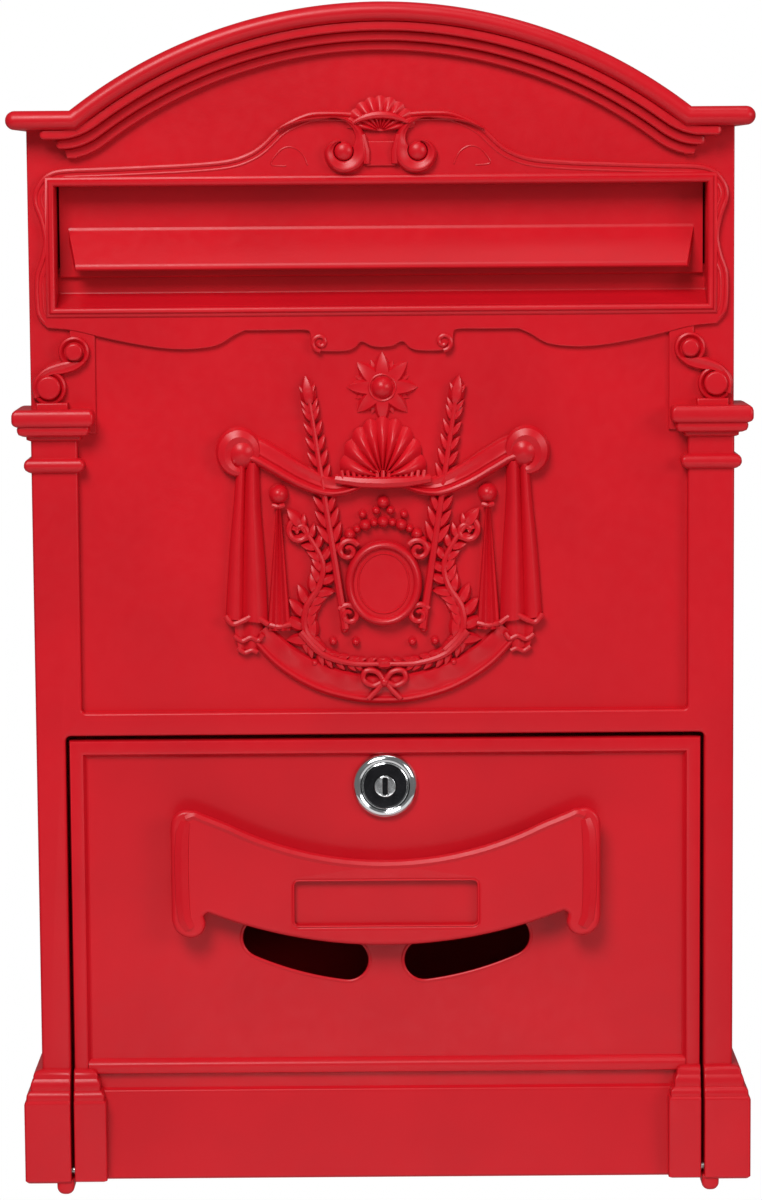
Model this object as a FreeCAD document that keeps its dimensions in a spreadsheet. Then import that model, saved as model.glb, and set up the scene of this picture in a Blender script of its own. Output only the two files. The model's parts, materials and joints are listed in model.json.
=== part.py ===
"""Wall-mounted cast letterbox: arched roof, swinging letter flap, drop-down door with a cam lock.

Frame: the origin is the centre of the four wall holes on the back face, +X right, +Y into the wall,
+Z up. Pieces are drawn with heights above the base and depths out from the wall, and their
Placement then lowers them by the height of the wall holes' centre.
"""
import FreeCAD, Part
import math
import os
import re

import Sketcher

doc = FreeCAD.newDocument("Letterbox")
sizes = doc.addObject("Spreadsheet::Sheet", "Sizes")

DRIVING = {
    # overall
    "body_width": 247.2, "body_height": 374, "body_depth": 78, "full_depth": 90,
    "wall": 2.5, "plate": 2, "gap": 0.4,
    # wall fixing
    "hole_span_x": 160, "hole_span_z": 250, "lower_holes": 65, "wall_hole_radius": 3,
    # roof: slab on the eaves with an arch between two shoulders
    "slab": 6.6, "shoulder": 18.1, "arch_rise": 36.6, "overhang": 6.4,
    "step_drop": 3.3, "step_back": 3, "step_end": 5.4,
    # corner pilasters
    "shaft_width": 16.4, "shaft_proud": 3.5, "capital_drop": 97.1, "return_depth": 16.5,
    "base_proud": 6.1, "base_height": 42.5, "capital_proud": 6.2,
    # door opening, door and its hinge
    "door_height": 160.8, "frame_strip": 10.4, "door_gap": 1.2, "door_top_gap": 1.7,
    "door_plate": 3, "panel_recess": 2.5, "stile": 5.5, "lower_rail": 39.9,
    "hinge_depth": 82, "hinge_height": 3.5, "hinge_pin_radius": 1.5, "hinge_grip": 8,
    "running_gap": 0.05, "nub_drop": 4.1, "nub_width": 5.4, "rail_height": 6.1, "bead_height": 3.9,
    # letter opening, surround and flap
    "slot_drop": 19.5, "slot_height": 42.2, "slot_margin": 9.6, "throat_depth": 12, "sill_rise": 4.4,
    "upstand_height": 13.7, "rod_radius": 2, "rod_depth": 71.4, "rod_drop": 15.8, "hem_wall": 1.15,
    "flap_side_gap": 0.8,
    "lip_inset": 3.2, "flap_wall": 1.5, "flap_crease": 26, "flap_tail": 10.2, "lip_drop": 13.4,
    "lip_reach": 9.3, "lip_wall": 2.4, "board": 1.8, "bead": 1.7, "bead_width": 3,
    # pull handle and viewing slots, hung from the door's top
    "handle_reach": 11, "handle_wall": 4, "handle_half": 76, "handle_foot": 12,
    "handle_drop": 73.8, "handle_upper_radius": 122.5,
    "handle_lower_radius": 171, "handle_waist": 30.5, "card_half": 32.4, "card_height": 16.5,
    "view_drop": 86.5, "view_height": 12.7, "view_radius": 168.8, "view_inner": 10,
    "view_outer": 49, "screw_radius": 2,
    # cam lock
    "lock_drop": 17, "bezel_radius": 11.7, "bezel_height": 2.8, "barrel_radius": 9.5,
    "barrel_length": 19, "plug_radius": 7, "face_radius": 7.75, "cam_length": 27, "cam_width": 15,
    "cam_wall": 2, "keeper_end": 60,
    # middle ornament
    "relief_half": 55, "relief_height": 122, "fastener": 1.6,
}
for row, (name, value) in enumerate(DRIVING.items(), start=1):
    sizes.set(f"A{row}", str(value))
    sizes.setAlias(f"A{row}", name)
doc.recompute()

# Formulas in the sizes that several pieces share.
HALF = "(body_width / 2)"
DOOR_OPEN = f"({HALF} - frame_strip)"
DOOR_HALF = f"({DOOR_OPEN} - door_gap)"
DOOR_TOP = "(door_height - door_top_gap)"
FACE = "(body_depth + shaft_proud)"
SHAFT_IN = f"({HALF} - shaft_width)"
CASTING_BACK = "(body_depth - wall)"
INSIDE = f"({HALF} - wall)"
ARCH_HALF = f"({HALF} - shoulder)"
ARCH_RADIUS = f"(({ARCH_HALF}^2 + arch_rise^2) / (2 * arch_rise))"
CAPITAL_TOP = "(body_height - capital_drop)"
PANEL_BOTTOM = "(door_height + rail_height + bead_height)"
SLOT_TOP = "(body_height - slot_drop)"
SLOT_BOTTOM = f"({SLOT_TOP} - slot_height)"
SLOT_HALF = f"({HALF} - slot_margin)"
ROD_HEIGHT = "(body_height - rod_drop)"
DOOR_PANEL = f"({FACE} - panel_recess)"
DOOR_BACK = f"({DOOR_PANEL} - door_plate)"
LOCK_HEIGHT = f"({DOOR_TOP} - lock_drop)"
HANDLE_LOW = f"({DOOR_TOP} - handle_drop)"
HANDLE_FRONT = f"({DOOR_PANEL} + handle_reach)"
HANDLE_BACK = f"({HANDLE_FRONT} - handle_wall)"
BARREL_END = f"({DOOR_PANEL} - barrel_length)"
BOARD_FACE = "(body_depth + board)"
BASE = "-(lower_holes + hole_span_z / 2)"

# Rings of the capital from its top down: thickness, share of the full projection.
CAPITAL_RINGS = ((5.9, 1.0), (3.7, 0.74), (2.3, 0.22))
ASTRAGAL = (17.4, 5.1, 0.4)  # below the capital's top, thickness, share of the projection
# Rings of the base from its block up: thickness, share of the full projection.
BASE_BLOCK = 30
BASE_RINGS = ((BASE_BLOCK, 1.0), (3.9, 0.87), (5.1, 0.64), (3.5, 0.49))


def bound(formula):
    """The formula with each size named as the spreadsheet's own cell."""
    return re.sub(r"[a-z_]+", lambda m: f"Sizes.{m.group()}" if m.group() in DRIVING else m.group(),
                  str(formula))


def size(formula):
    found = sizes.evalExpression(bound(formula))
    return float(getattr(found, "Value", found))


def bind(thing, target, formula):
    thing.setExpression(target, bound(formula))


nodes = []


def node(thing, label, height="0"):
    """Gives a finished sub-part its name and lowers it into the row's frame."""
    thing.Label = label
    bind(thing, "Placement.Base.z", f"{height} + {BASE}")
    nodes.append(thing)
    return thing


# ---------------------------------------------------------------- sketches and features

def sketch_on(body, plane, offset):
    """A sketch on one of the body's own planes: XZ looks at the front, its offset is a depth."""
    sketch = body.newObject("Sketcher::SketchObject", "Outline")
    origin_plane = next(f for f in body.Origin.OriginFeatures if f.Role == plane)
    sketch.AttachmentSupport = [(origin_plane, "")]
    sketch.MapMode = "FlatFace"
    bind(sketch, "AttachmentOffset.Base.z", offset)
    return sketch


def arc_between(start, end, radius):
    """An arc that bulges to the left of the way for a radius over 0, and to the right under 0."""
    chord = end - start
    half = chord.Length / 2
    reach = math.sqrt(max(radius * radius - half * half, 0))
    left = FreeCAD.Vector(-chord.y, chord.x, 0).normalize()
    centre = (start + end) * 0.5 - left * math.copysign(reach, radius)
    first, last = (end, start) if radius > 0 else (start, end)
    angles = [math.atan2(point.y - centre.y, point.x - centre.x) for point in (first, last)]
    circle = Part.Circle(centre, FreeCAD.Vector(0, 0, 1), abs(radius))
    return Part.ArcOfCircle(circle, *angles)


def outline(sketch, corners):
    """A closed outline through (x, y) corners; (x, y, radius) starts an arc to the next corner."""
    points = [FreeCAD.Vector(size(c[0]), size(c[1]), 0) for c in corners]
    ends = []
    for i, corner in enumerate(corners):
        start, end = points[i], points[(i + 1) % len(corners)]
        if len(corner) == 2:
            ends.append((sketch.addGeometry(Part.LineSegment(start, end), False), 1, 2))
            continue
        radius = size(corner[2])
        edge = sketch.addGeometry(arc_between(start, end, radius), False)
        ends.append((edge, 2, 1) if radius > 0 else (edge, 1, 2))
        place = sketch.addConstraint(Sketcher.Constraint("Radius", edge, abs(radius)))
        bind(sketch, f"Constraints[{place}]", f"abs({corner[2]})")
    for i, (edge, first, last) in enumerate(ends):
        after, start, _ = ends[(i + 1) % len(ends)]
        sketch.addConstraint(Sketcher.Constraint("Coincident", edge, last, after, start))
        for kind, formula in zip(("DistanceX", "DistanceY"), corners[i][:2]):
            rule = Sketcher.Constraint(kind, -1, 1, edge, first, size(formula))
            bind(sketch, f"Constraints[{sketch.addConstraint(rule)}]", formula)


def circle(sketch, x, y, radius):
    middle = FreeCAD.Vector(size(x), size(y), 0)
    edge = sketch.addGeometry(Part.Circle(middle, FreeCAD.Vector(0, 0, 1), size(radius)), False)
    rules = (("DistanceX", x), ("DistanceY", y))
    for kind, formula in rules:
        rule = Sketcher.Constraint(kind, -1, 1, edge, 3, size(formula))
        bind(sketch, f"Constraints[{sketch.addConstraint(rule)}]", formula)
    place = sketch.addConstraint(Sketcher.Constraint("Radius", edge, size(radius)))
    bind(sketch, f"Constraints[{place}]", radius)


def box_corners(x0, x1, y0, y1):
    return [(x0, y0), (x1, y0), (x1, y1), (x0, y1)]


def feature(body, kind, sketch, length, reverse=False, middle=False):
    made = body.newObject(f"PartDesign::{kind}", kind)
    made.Profile = sketch
    bind(made, "Length", length)
    made.Reversed = reverse
    made.Midplane = middle
    return made


def front_pad(body, corners, back, front):
    """Adds an outline seen from the front, from one depth out to another."""
    sketch = sketch_on(body, "XZ_Plane", back)
    outline(sketch, corners)
    feature(body, "Pad", sketch, f"({front}) - ({back})")


def front_cut(body, corners, front, back):
    sketch = sketch_on(body, "XZ_Plane", front)
    outline(sketch, corners)
    feature(body, "Pocket", sketch, f"({front}) - ({back})")


def front_holes(body, places, radius, front, back):
    sketch = sketch_on(body, "XZ_Plane", front)
    for x, height in places:
        circle(sketch, x, height, radius)
    feature(body, "Pocket", sketch, f"({front}) - ({back})")


def side_pad(body, corners, x, length, side=1, middle=False):
    """Adds a section seen from the side, from x outwards by length, or half of it each way."""
    sketch = sketch_on(body, "YZ_Plane", x)
    outline(sketch, corners)
    feature(body, "Pad", sketch, length, reverse=side < 0, middle=middle)


def side_holes(body, places, radius, x, length, side):
    """Bores holes from x towards the middle, or outwards for the other side."""
    sketch = sketch_on(body, "YZ_Plane", x)
    for depth, height in places:
        circle(sketch, f"-({depth})", height, radius)
    feature(body, "Pocket", sketch, length, reverse=side < 0)


def new_body(label):
    return node(doc.addObject("PartDesign::Body", "Body"), label)


# ---------------------------------------------------------------- Part primitives

AXES = {"up": ((0, 0, 1), 0), "front": ((1, 0, 0), 90), "back": ((1, 0, 0), -90),
        "right": ((0, 1, 0), 90), "left": ((0, 1, 0), -90)}


def round_bar(radius, length, x, depth, height, way):
    bar = doc.addObject("Part::Cylinder", "Bar")
    axis, angle = AXES[way]
    bar.Placement.Rotation = FreeCAD.Rotation(FreeCAD.Vector(*axis), angle)
    targets = {"Radius": radius, "Height": length, "Placement.Base.x": x,
               "Placement.Base.y": f"-({depth})", "Placement.Base.z": height}
    for target, formula in targets.items():
        bind(bar, target, formula)
    return bar


def block(x0, x1, back, front, low, high):
    made = doc.addObject("Part::Box", "Block")
    targets = {"Length": f"({x1}) - ({x0})", "Width": f"({front}) - ({back})",
               "Height": f"({high}) - ({low})", "Placement.Base.x": x0,
               "Placement.Base.y": f"-({front})", "Placement.Base.z": low}
    for target, formula in targets.items():
        bind(made, target, formula)
    return made


def fuse(*shapes):
    made = doc.addObject("Part::MultiFuse", "Fused")
    made.Shapes = list(shapes)
    return made


def cut(base, tool):
    made = doc.addObject("Part::Cut", "Cut")
    made.Base, made.Tool = base, tool
    return made


def group(label, members):
    made = doc.addObject("Part::Compound", "Group")
    made.Links = members
    return node(made, label)


def screw(x, depth, height, way, shank, length, head_height=2.2):
    """A pan-head screw whose head stands behind the point and whose shank goes on along the way."""
    reverse = {"front": "back", "back": "front", "left": "right", "right": "left", "up": "up"}[way]
    head = round_bar(f"2 * {shank}", head_height, x, depth, height, reverse)
    if way == "up":
        bind(head, "Placement.Base.z", f"({height}) - {head_height}")
    return fuse(head, round_bar(shank, length, x, depth, height, way))


# ---------------------------------------------------------------- shared places

FRONT_SCREW_HEIGHTS = ("base_height + 27", "base_height + 112", "base_height + 190")
BACK_SCREW_HEIGHTS = ("base_height - 12", "body_height / 2", "body_height - 30")
FRONT_SCREW_X = f"({INSIDE} - 3.6)"
BACK_SCREW_X = f"({INSIDE} - 5)"
ROOF_SCREW_X = f"({INSIDE} - 6)"
ROOF_SCREW_DEPTHS = ("20", f"{CASTING_BACK} - 20")
RIVET_DEPTHS = ("18", f"{CASTING_BACK} - 25")
RIVET_HEIGHT = "wall + 6.5"
FLANGE = 9
LUG = 10


def sided(side, formula):
    return f"{side} * ({formula})"


def ordered(side, inner, outer):
    """The two x formulas of a feature on one side, lower first."""
    return (inner, outer) if side > 0 else (f"-({outer})", f"-({inner})")


def arched(corner_height, half, drop="0"):
    """Right to left, the three corners of the arch line that lies a drop under the slab."""
    radius = f"({ARCH_RADIUS} - ({drop}))"
    reach = f"sqrt(2 * {radius} * arch_rise - arch_rise^2)"
    low = f"{corner_height} - ({drop})"
    return [(half, low), (reach, low, f"-{radius}"), (f"-{reach}", low), (f"-({half})", low)]


def mirrored(right, top_radius):
    """A whole outline from its right half, listed clockwise; an arc over the middle closes it."""
    arcs = [corner[2:] for corner in right]
    left = [(f"-({corner[0]})", corner[1], *arc)
            for corner, arc in zip(right[::-1], arcs[-2::-1] + [(top_radius,)])]
    return right + left


def pilaster_rings(add):
    """Calls add(low, high, share) for each ring of the capital and of the base."""
    high = CAPITAL_TOP
    for thickness, share in CAPITAL_RINGS:
        low = f"({high} - {thickness})"
        add(low, high, share, "capital_proud")
        high = low
    drop, thickness, share = ASTRAGAL
    add(f"{CAPITAL_TOP} - {drop + thickness}", f"{CAPITAL_TOP} - {drop}", share, "capital_proud")
    low = "0"
    for thickness, share in BASE_RINGS:
        high = f"({low} + {thickness})"
        add(low, high, share, "base_proud")
        low = high


# ---------------------------------------------------------------- housing

def make_back_plate():
    body = new_body("back_plate")
    front_pad(body, [(f"-{HALF}", "0"), (HALF, "0")] + arched("body_height", HALF), "0", "plate")
    rows = ("lower_holes", "lower_holes + hole_span_z")
    wall_holes = [(sided(s, "hole_span_x / 2"), row) for row in rows for s in (-1, 1)]
    front_holes(body, wall_holes, "wall_hole_radius", "plate", "0")
    screws = [(sided(s, BACK_SCREW_X), z) for z in BACK_SCREW_HEIGHTS for s in (-1, 1)]
    front_holes(body, screws, "fastener", "plate", "0")
    front_holes(body, screws, "2 * fastener", "1.2", "0")


def make_side_wall(side, label):
    body = new_body(label)
    section = box_corners(f"-({CASTING_BACK})", "-plate", "0", "body_height")
    side_pad(body, section, sided(side, INSIDE), "wall", side)
    inner = f"({INSIDE} - {FLANGE})"
    flange = box_corners(*ordered(side, inner, INSIDE), "10", "body_height - 10")
    front_pad(body, flange, "plate", "plate + wall")
    for height in FRONT_SCREW_HEIGHTS:
        lug = box_corners(*ordered(side, f"{DOOR_OPEN} + 1", INSIDE),
                          f"{height} - {LUG / 2}", f"{height} + {LUG / 2}")
        front_pad(body, lug, f"{CASTING_BACK} - wall", CASTING_BACK)
    top = sketch_on(body, "XY_Plane", "body_height - wall")
    outline(top, box_corners(*ordered(side, f"{INSIDE} - 12", INSIDE),
                             f"-({CASTING_BACK} - 10)", "-10"))
    feature(body, "Pad", top, "wall")

    def ring(low, high, share, proud):
        back = "0" if proud == "base_proud" else f"{CASTING_BACK} - return_depth"
        across = ordered(side, f"{HALF} - 0.5" if back != "0" else HALF, f"{HALF} + {proud} * {share}")
        front_pad(body, box_corners(*across, low, high), "plate" if back == "0" else back,
                  CASTING_BACK)
    pilaster_rings(ring)
    front_holes(body, [(sided(side, BACK_SCREW_X), z) for z in BACK_SCREW_HEIGHTS],
                "fastener", "plate + wall", "plate")
    front_holes(body, [(sided(side, FRONT_SCREW_X), z) for z in FRONT_SCREW_HEIGHTS],
                "fastener", CASTING_BACK, f"{CASTING_BACK} - wall")
    side_holes(body, [(depth, RIVET_HEIGHT) for depth in RIVET_DEPTHS], "fastener",
               sided(side, INSIDE), "wall", -side)
    screw_holes = sketch_on(body, "XY_Plane", "body_height")
    for depth in ROOF_SCREW_DEPTHS:
        circle(screw_holes, sided(side, ROOF_SCREW_X), f"-({depth})", "fastener")
    feature(body, "Pocket", screw_holes, "wall")


def make_floor_plate():
    body = new_body("floor_plate")
    front = f"({CASTING_BACK} - 2)"
    section = box_corners(f"-({front})", "-plate", "0", "wall")
    side_pad(body, section, "0", f"2 * {INSIDE}", middle=True)
    for side in (-1, 1):
        upturn = box_corners(f"-({front} - 12)", "-10", "wall - 0.5", "wall + 12")
        side_pad(body, upturn, sided(side, f"{INSIDE} - wall"), "wall", side)
        side_holes(body, [(depth, RIVET_HEIGHT) for depth in RIVET_DEPTHS], "fastener",
                   sided(side, f"{INSIDE} - wall"), "wall", -side)


def make_arched_roof():
    body = new_body("arched_roof")
    eaves = f"({HALF} + overhang)"
    outer = f"({ARCH_RADIUS} + slab)"
    reach = f"sqrt(2 * {outer} * arch_rise - arch_rise^2)"
    top = "body_height + slab"
    under = arched("body_height", eaves)
    over = [(f"-{eaves}", top), (f"-{reach}", top, outer), (reach, top), (eaves, top)]
    front_pad(body, under + over, "0", "full_depth")
    for step in (1, 2, 3):
        drop = f"step_drop * {step}"
        end = f"({HALF} - step_end * {step})"
        line = arched("body_height", end, drop)
        seat = arched("body_height", end)[::-1]
        seat = [seat[0], (*seat[1], ARCH_RADIUS), seat[2][:2], seat[3]]
        front_pad(body, line + seat, "body_depth", f"full_depth - step_back * {step}")
    holes = sketch_on(body, "XY_Plane", "body_height")
    for depth in ROOF_SCREW_DEPTHS:
        for side in (-1, 1):
            circle(holes, sided(side, ROOF_SCREW_X), f"-({depth})", "fastener")
    feature(body, "Pocket", holes, "4", reverse=True)


def make_front_casting():
    body = new_body("front_casting")
    front_pad(body, [(f"-{HALF}", "0"), (HALF, "0")] + arched("body_height", HALF),
              CASTING_BACK, "body_depth")
    for side in (-1, 1):
        shaft = box_corners(*ordered(side, SHAFT_IN, HALF), "0", CAPITAL_TOP)
        front_pad(body, shaft, "body_depth - 0.5", FACE)

        def ring(low, high, share, proud):
            across = ordered(side, f"{SHAFT_IN} - {proud} * {share}", f"{HALF} + {proud} * {share}")
            front_pad(body, box_corners(*across, low, high), CASTING_BACK,
                      f"{FACE} + {proud} * {share}")
        pilaster_rings(ring)
    rail = box_corners(f"-{SHAFT_IN}", SHAFT_IN, "door_height", "door_height + rail_height")
    front_pad(body, rail, "body_depth - 0.5", FACE)
    bead = box_corners(f"-{SHAFT_IN}", SHAFT_IN, "door_height + rail_height", PANEL_BOTTOM)
    front_pad(body, bead, "body_depth - 0.5", f"{FACE} - 1.5")
    front_cut(body, box_corners(f"-{DOOR_OPEN}", DOOR_OPEN, "-1", "door_height"),
              "full_depth", f"{CASTING_BACK} - 1")
    front_cut(body, box_corners(f"-{SLOT_HALF}", SLOT_HALF, SLOT_BOTTOM, SLOT_TOP),
              "body_depth", CASTING_BACK)
    throat_back = "(body_depth - throat_depth)"
    for side in (-1, 1):
        cheek = box_corners(f"-({CASTING_BACK} + 0.5)", f"-{throat_back}", f"{SLOT_BOTTOM} - 3",
                            f"{ROD_HEIGHT} + 5")
        side_pad(body, cheek, sided(side, SLOT_HALF), "wall", side)
    foot = f"{SLOT_BOTTOM} + sill_rise"
    upstand = "(rod_depth - rod_radius - hem_wall - gap)"
    sill = [("-body_depth", SLOT_BOTTOM), (f"-{upstand}", foot),
            (f"-{upstand}", f"{SLOT_BOTTOM} + upstand_height"),
            (f"-{throat_back}", f"{SLOT_BOTTOM} + upstand_height"),
            (f"-{throat_back}", f"{SLOT_BOTTOM} - 3"), (f"-{CASTING_BACK}", f"{SLOT_BOTTOM} - 3"),
            (f"-{CASTING_BACK}", f"{SLOT_BOTTOM} - 0.5"), ("-body_depth", f"{SLOT_BOTTOM} - 0.5")]
    side_pad(body, sill, "0", f"2 * {SLOT_HALF}", middle=True)
    keeper = box_corners(f"-({CASTING_BACK} + 0.5)", "-keeper_end", "door_height",
                         "door_height + wall")
    side_pad(body, keeper, "0", "120", middle=True)
    for side in (-1, 1):
        low = "nub_drop - 2.9"
        nub = [("-(hinge_depth - 4.5)", "0.5"), ("-(hinge_depth + 4.5)", "0.5"),
               ("-(hinge_depth + 4.5)", f"-({low})", "-5"), ("-(hinge_depth - 4.5)", f"-({low})")]
        side_pad(body, nub, sided(side, f"{DOOR_OPEN} - door_gap / 2"), "nub_width", side)
        side_holes(body, [("hinge_depth", "hinge_height")], "hinge_pin_radius",
                   sided(side, DOOR_OPEN), "hinge_grip", -side)
        side_holes(body, [("rod_depth", ROD_HEIGHT)], "rod_radius",
                   sided(side, SLOT_HALF), "wall", -side)
    front_holes(body, [(sided(s, FRONT_SCREW_X), z) for z in FRONT_SCREW_HEIGHTS for s in (-1, 1)],
                "fastener", f"{CASTING_BACK} + 4", CASTING_BACK)


def make_slot_surround():
    body = new_body("slot_surround")
    edge = f"({HALF} - 2.2)"
    waist_top = "body_height - 24"
    waist_low = f"{SLOT_BOTTOM} + 9"
    foot = f"{SLOT_BOTTOM} - 7.1"
    right = [("10.4", "body_height + 5.6"), ("25.6", "body_height + 5.6", "30"),
             ("41.5", "body_height - 5.2", "-45"), ("60", "body_height - 11.2"),
             (f"{edge} - 10", "body_height - 13.3", "11"), (edge, waist_top, "-32"),
             (edge, waist_low, "18"), (f"{edge} - 5", foot), (f"{HALF} - 39.6", f"{SLOT_BOTTOM} - 12"),
             (f"{HALF} - 47.6", f"{SLOT_BOTTOM} - 14", "14"), (f"{HALF} - 65.6", f"{SLOT_BOTTOM} - 14"),
             (f"{HALF} - 77.6", f"{SLOT_BOTTOM} - 8.5"), ("24", f"{SLOT_BOTTOM} - 8.5"),
             ("24", f"{SLOT_BOTTOM} - 14")]
    front_pad(body, mirrored(right, "12"), "body_depth", BOARD_FACE)
    across = f"({SLOT_HALF} + bead_width)"
    front_pad(body, box_corners(f"-{across}", across, f"{SLOT_BOTTOM} - bead_width",
                                f"{SLOT_TOP} + bead_width"), "body_depth", f"{BOARD_FACE} + bead")
    front_cut(body, box_corners(f"-{SLOT_HALF}", SLOT_HALF, SLOT_BOTTOM, SLOT_TOP),
              f"{BOARD_FACE} + bead", "body_depth")


def make_crest_scrolls():
    middle = "body_height - 8"
    parts = [block("-9", "9", BOARD_FACE, f"{BOARD_FACE} + 4", "body_height - 12", "body_height - 3"),
             round_bar("11", "3", "0", BOARD_FACE, "body_height - 1", "front")]
    for side in (-1, 1):
        parts.append(round_bar("7.4", "7", side * 12.9, BOARD_FACE, middle, "front"))
        parts.append(round_bar("2.8", "8", side * 12.9, BOARD_FACE, middle, "front"))
    node(fuse(*parts), "crest_scrolls")


def make_console(side, label):
    upper = f"{CAPITAL_TOP} + 20.2"
    lower = f"{CAPITAL_TOP} + 7.5"
    strip = block(*ordered(side, f"{SHAFT_IN} - 6", f"{HALF} - 0.5"), "body_depth",
                  "body_depth + 1.5", CAPITAL_TOP, f"{CAPITAL_TOP} + 25.2")
    parts = [strip]
    for inset, height, radius in ((15.7, upper, 5.2), (6.6, lower, 6)):
        place = sided(side, f"{HALF} - {inset}")
        parts.append(round_bar(radius, "5", place, "body_depth", height, "front"))
        parts.append(round_bar(radius / 2, "6", place, "body_depth", height, "front"))
    parts.append(block(*ordered(side, f"{HALF} - 14", f"{HALF} - 8"), "body_depth",
                       "body_depth + 4", lower, upper))
    node(fuse(*parts), label)


def make_emblem_relief():
    body = new_body("emblem_relief")
    low = f"({PANEL_BOTTOM} + 1)"
    drape = [("-relief_half", f"{low} + 92"), ("-relief_half + 4", f"{low} + 26", "-64"),
             ("relief_half - 4", f"{low} + 26"), ("relief_half", f"{low} + 92", "80")]
    front_pad(body, drape, "body_depth", "body_depth + 3")
    parts = ((0, 40, 16, 34, 7), (-27, 44, 8, 26, 6), (27, 44, 8, 26, 6), (0, 8, 10, 6, 6),
             (0, 84, 17, 26, 8))
    for x, height, half, rise, proud in parts:
        front_pad(body, box_corners(str(x - half), str(x + half), f"{low} + {height - rise / 2}",
                                    f"{low} + {height + rise / 2}"),
                  "body_depth + 1", f"body_depth + {proud}")
    rosette = sketch_on(body, "XZ_Plane", "body_depth")
    circle(rosette, "0", f"{low} + relief_height - 14", "14")
    feature(body, "Pad", rosette, "5")


def make_flap_rod():
    reach = f"({SLOT_HALF} + wall + 2)"
    rod = round_bar("rod_radius", f"2 * {reach}", f"-{reach}", "rod_depth", "0", "right")
    node(rod, "flap_rod", ROD_HEIGHT)


def make_rod_clips():
    clips = []
    for side in (-1, 1):
        place = sided(side, f"{SLOT_HALF} + wall" if side > 0 else f"{SLOT_HALF} + wall + 0.8")
        outer = round_bar("rod_radius + 1.5", "0.8", place, "rod_depth", ROD_HEIGHT, "right")
        inner = round_bar("rod_radius", "0.8", place, "rod_depth", ROD_HEIGHT, "right")
        clips.append(cut(outer, inner))
    group("rod_clips", clips)


def make_hinge_pin(side, label):
    start = f"{DOOR_OPEN} + hinge_grip"
    length = "2 * hinge_grip + door_gap"
    way = "left" if side > 0 else "right"
    pin = round_bar("hinge_pin_radius", length, sided(side, start), "hinge_depth", "0", way)
    node(pin, label, "hinge_height")


def make_housing_screws():
    group("front_screws", [
        screw(sided(s, FRONT_SCREW_X), f"{CASTING_BACK} - wall", z, "front", "fastener", "wall + 4")
        for z in FRONT_SCREW_HEIGHTS for s in (-1, 1)])
    group("back_plate_screws", [
        fuse(round_bar("2 * fastener", "1.2", sided(s, BACK_SCREW_X), "0", z, "front"),
             round_bar("fastener", "8", sided(s, BACK_SCREW_X), "0", z, "front"))
        for z in BACK_SCREW_HEIGHTS for s in (-1, 1)])
    group("roof_screws", [
        screw(sided(s, ROOF_SCREW_X), depth, "body_height - wall", "up", "fastener", "wall + 4")
        for depth in ROOF_SCREW_DEPTHS for s in (-1, 1)])
    rivets = []
    for side in (-1, 1):
        for depth in RIVET_DEPTHS:
            way = "right" if side > 0 else "left"
            rivets.append(screw(sided(side, f"{INSIDE} - wall"), depth, RIVET_HEIGHT, way,
                                "fastener", "2 * wall", 1.2))
    group("floor_rivets", rivets)


# ---------------------------------------------------------------- flap

def make_letter_flap():
    body = new_body("letter_flap")
    half = f"({SLOT_HALF} - flap_side_gap)"
    hem = "(rod_radius + running_gap + hem_wall)"
    plate_back = "(rod_depth - rod_radius - hem_wall)"
    plate_front = f"({plate_back} + flap_wall)"
    crease = f"({SLOT_TOP} - flap_crease + 10)"
    ring = sketch_on(body, "YZ_Plane", "0")
    circle(ring, "-rod_depth", ROD_HEIGHT, hem)
    feature(body, "Pad", ring, f"2 * {half}", middle=True)
    tail = box_corners(f"-{plate_front}", f"-{plate_back}", f"{SLOT_BOTTOM} + flap_tail", ROD_HEIGHT)
    side_pad(body, tail, "0", f"2 * {half}", middle=True)
    tip = f"-({plate_front} + lip_reach)"
    lip = [(f"-{plate_front}", crease), (tip, f"{crease} - lip_drop"),
           (f"{tip} + lip_wall", f"{crease} - lip_drop"),
           (f"-{plate_front}", f"{crease} - lip_wall * lip_drop / lip_reach")]
    side_pad(body, lip, "0", f"2 * ({half} - lip_inset)", middle=True)
    bore = sketch_on(body, "YZ_Plane", half)
    circle(bore, "-rod_depth", ROD_HEIGHT, "rod_radius + running_gap")
    feature(body, "Pocket", bore, f"2 * {half}")


# ---------------------------------------------------------------- door

HANDLE_FEET = [(side * 68, rise) for side in (-1, 1) for rise in ("18", "36")]


def make_door_casting():
    body = new_body("door_casting")
    front_pad(body, box_corners(f"-{DOOR_HALF}", DOOR_HALF, "0", DOOR_TOP), DOOR_BACK, FACE)
    inner = f"({DOOR_HALF} - stile)"
    front_cut(body, box_corners(f"-{inner}", inner, "lower_rail + stile", f"{DOOR_TOP} - stile + 1"),
              FACE, DOOR_PANEL)
    plinth = f"({DOOR_HALF} - 11.4)"
    front_cut(body, box_corners(f"-{plinth}", plinth, "lower_rail - 3.3", "lower_rail"),
              FACE, DOOR_PANEL)
    for side in (-1, 1):
        low = "0"
        for thickness, share in BASE_RINGS:
            high = f"({low} + {thickness})"
            across = ordered(side, f"{inner} - base_proud * {share}", DOOR_HALF)
            front_pad(body, box_corners(*across, low, high), DOOR_PANEL,
                      f"{FACE} + base_proud * {share}")
            low = high
    for side in (-1, 1):
        make_view_slot(body, side)
    front_holes(body, [("0", LOCK_HEIGHT)], "barrel_radius", DOOR_PANEL, DOOR_BACK)
    feet = [(x, f"{HANDLE_LOW} + {rise}") for x, rise in HANDLE_FEET]
    front_holes(body, feet, "screw_radius", DOOR_PANEL, DOOR_BACK)
    for side in (-1, 1):
        side_holes(body, [("hinge_depth", "hinge_height")], "hinge_pin_radius + running_gap",
                   sided(side, DOOR_HALF), "hinge_grip + 1", side)


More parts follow.
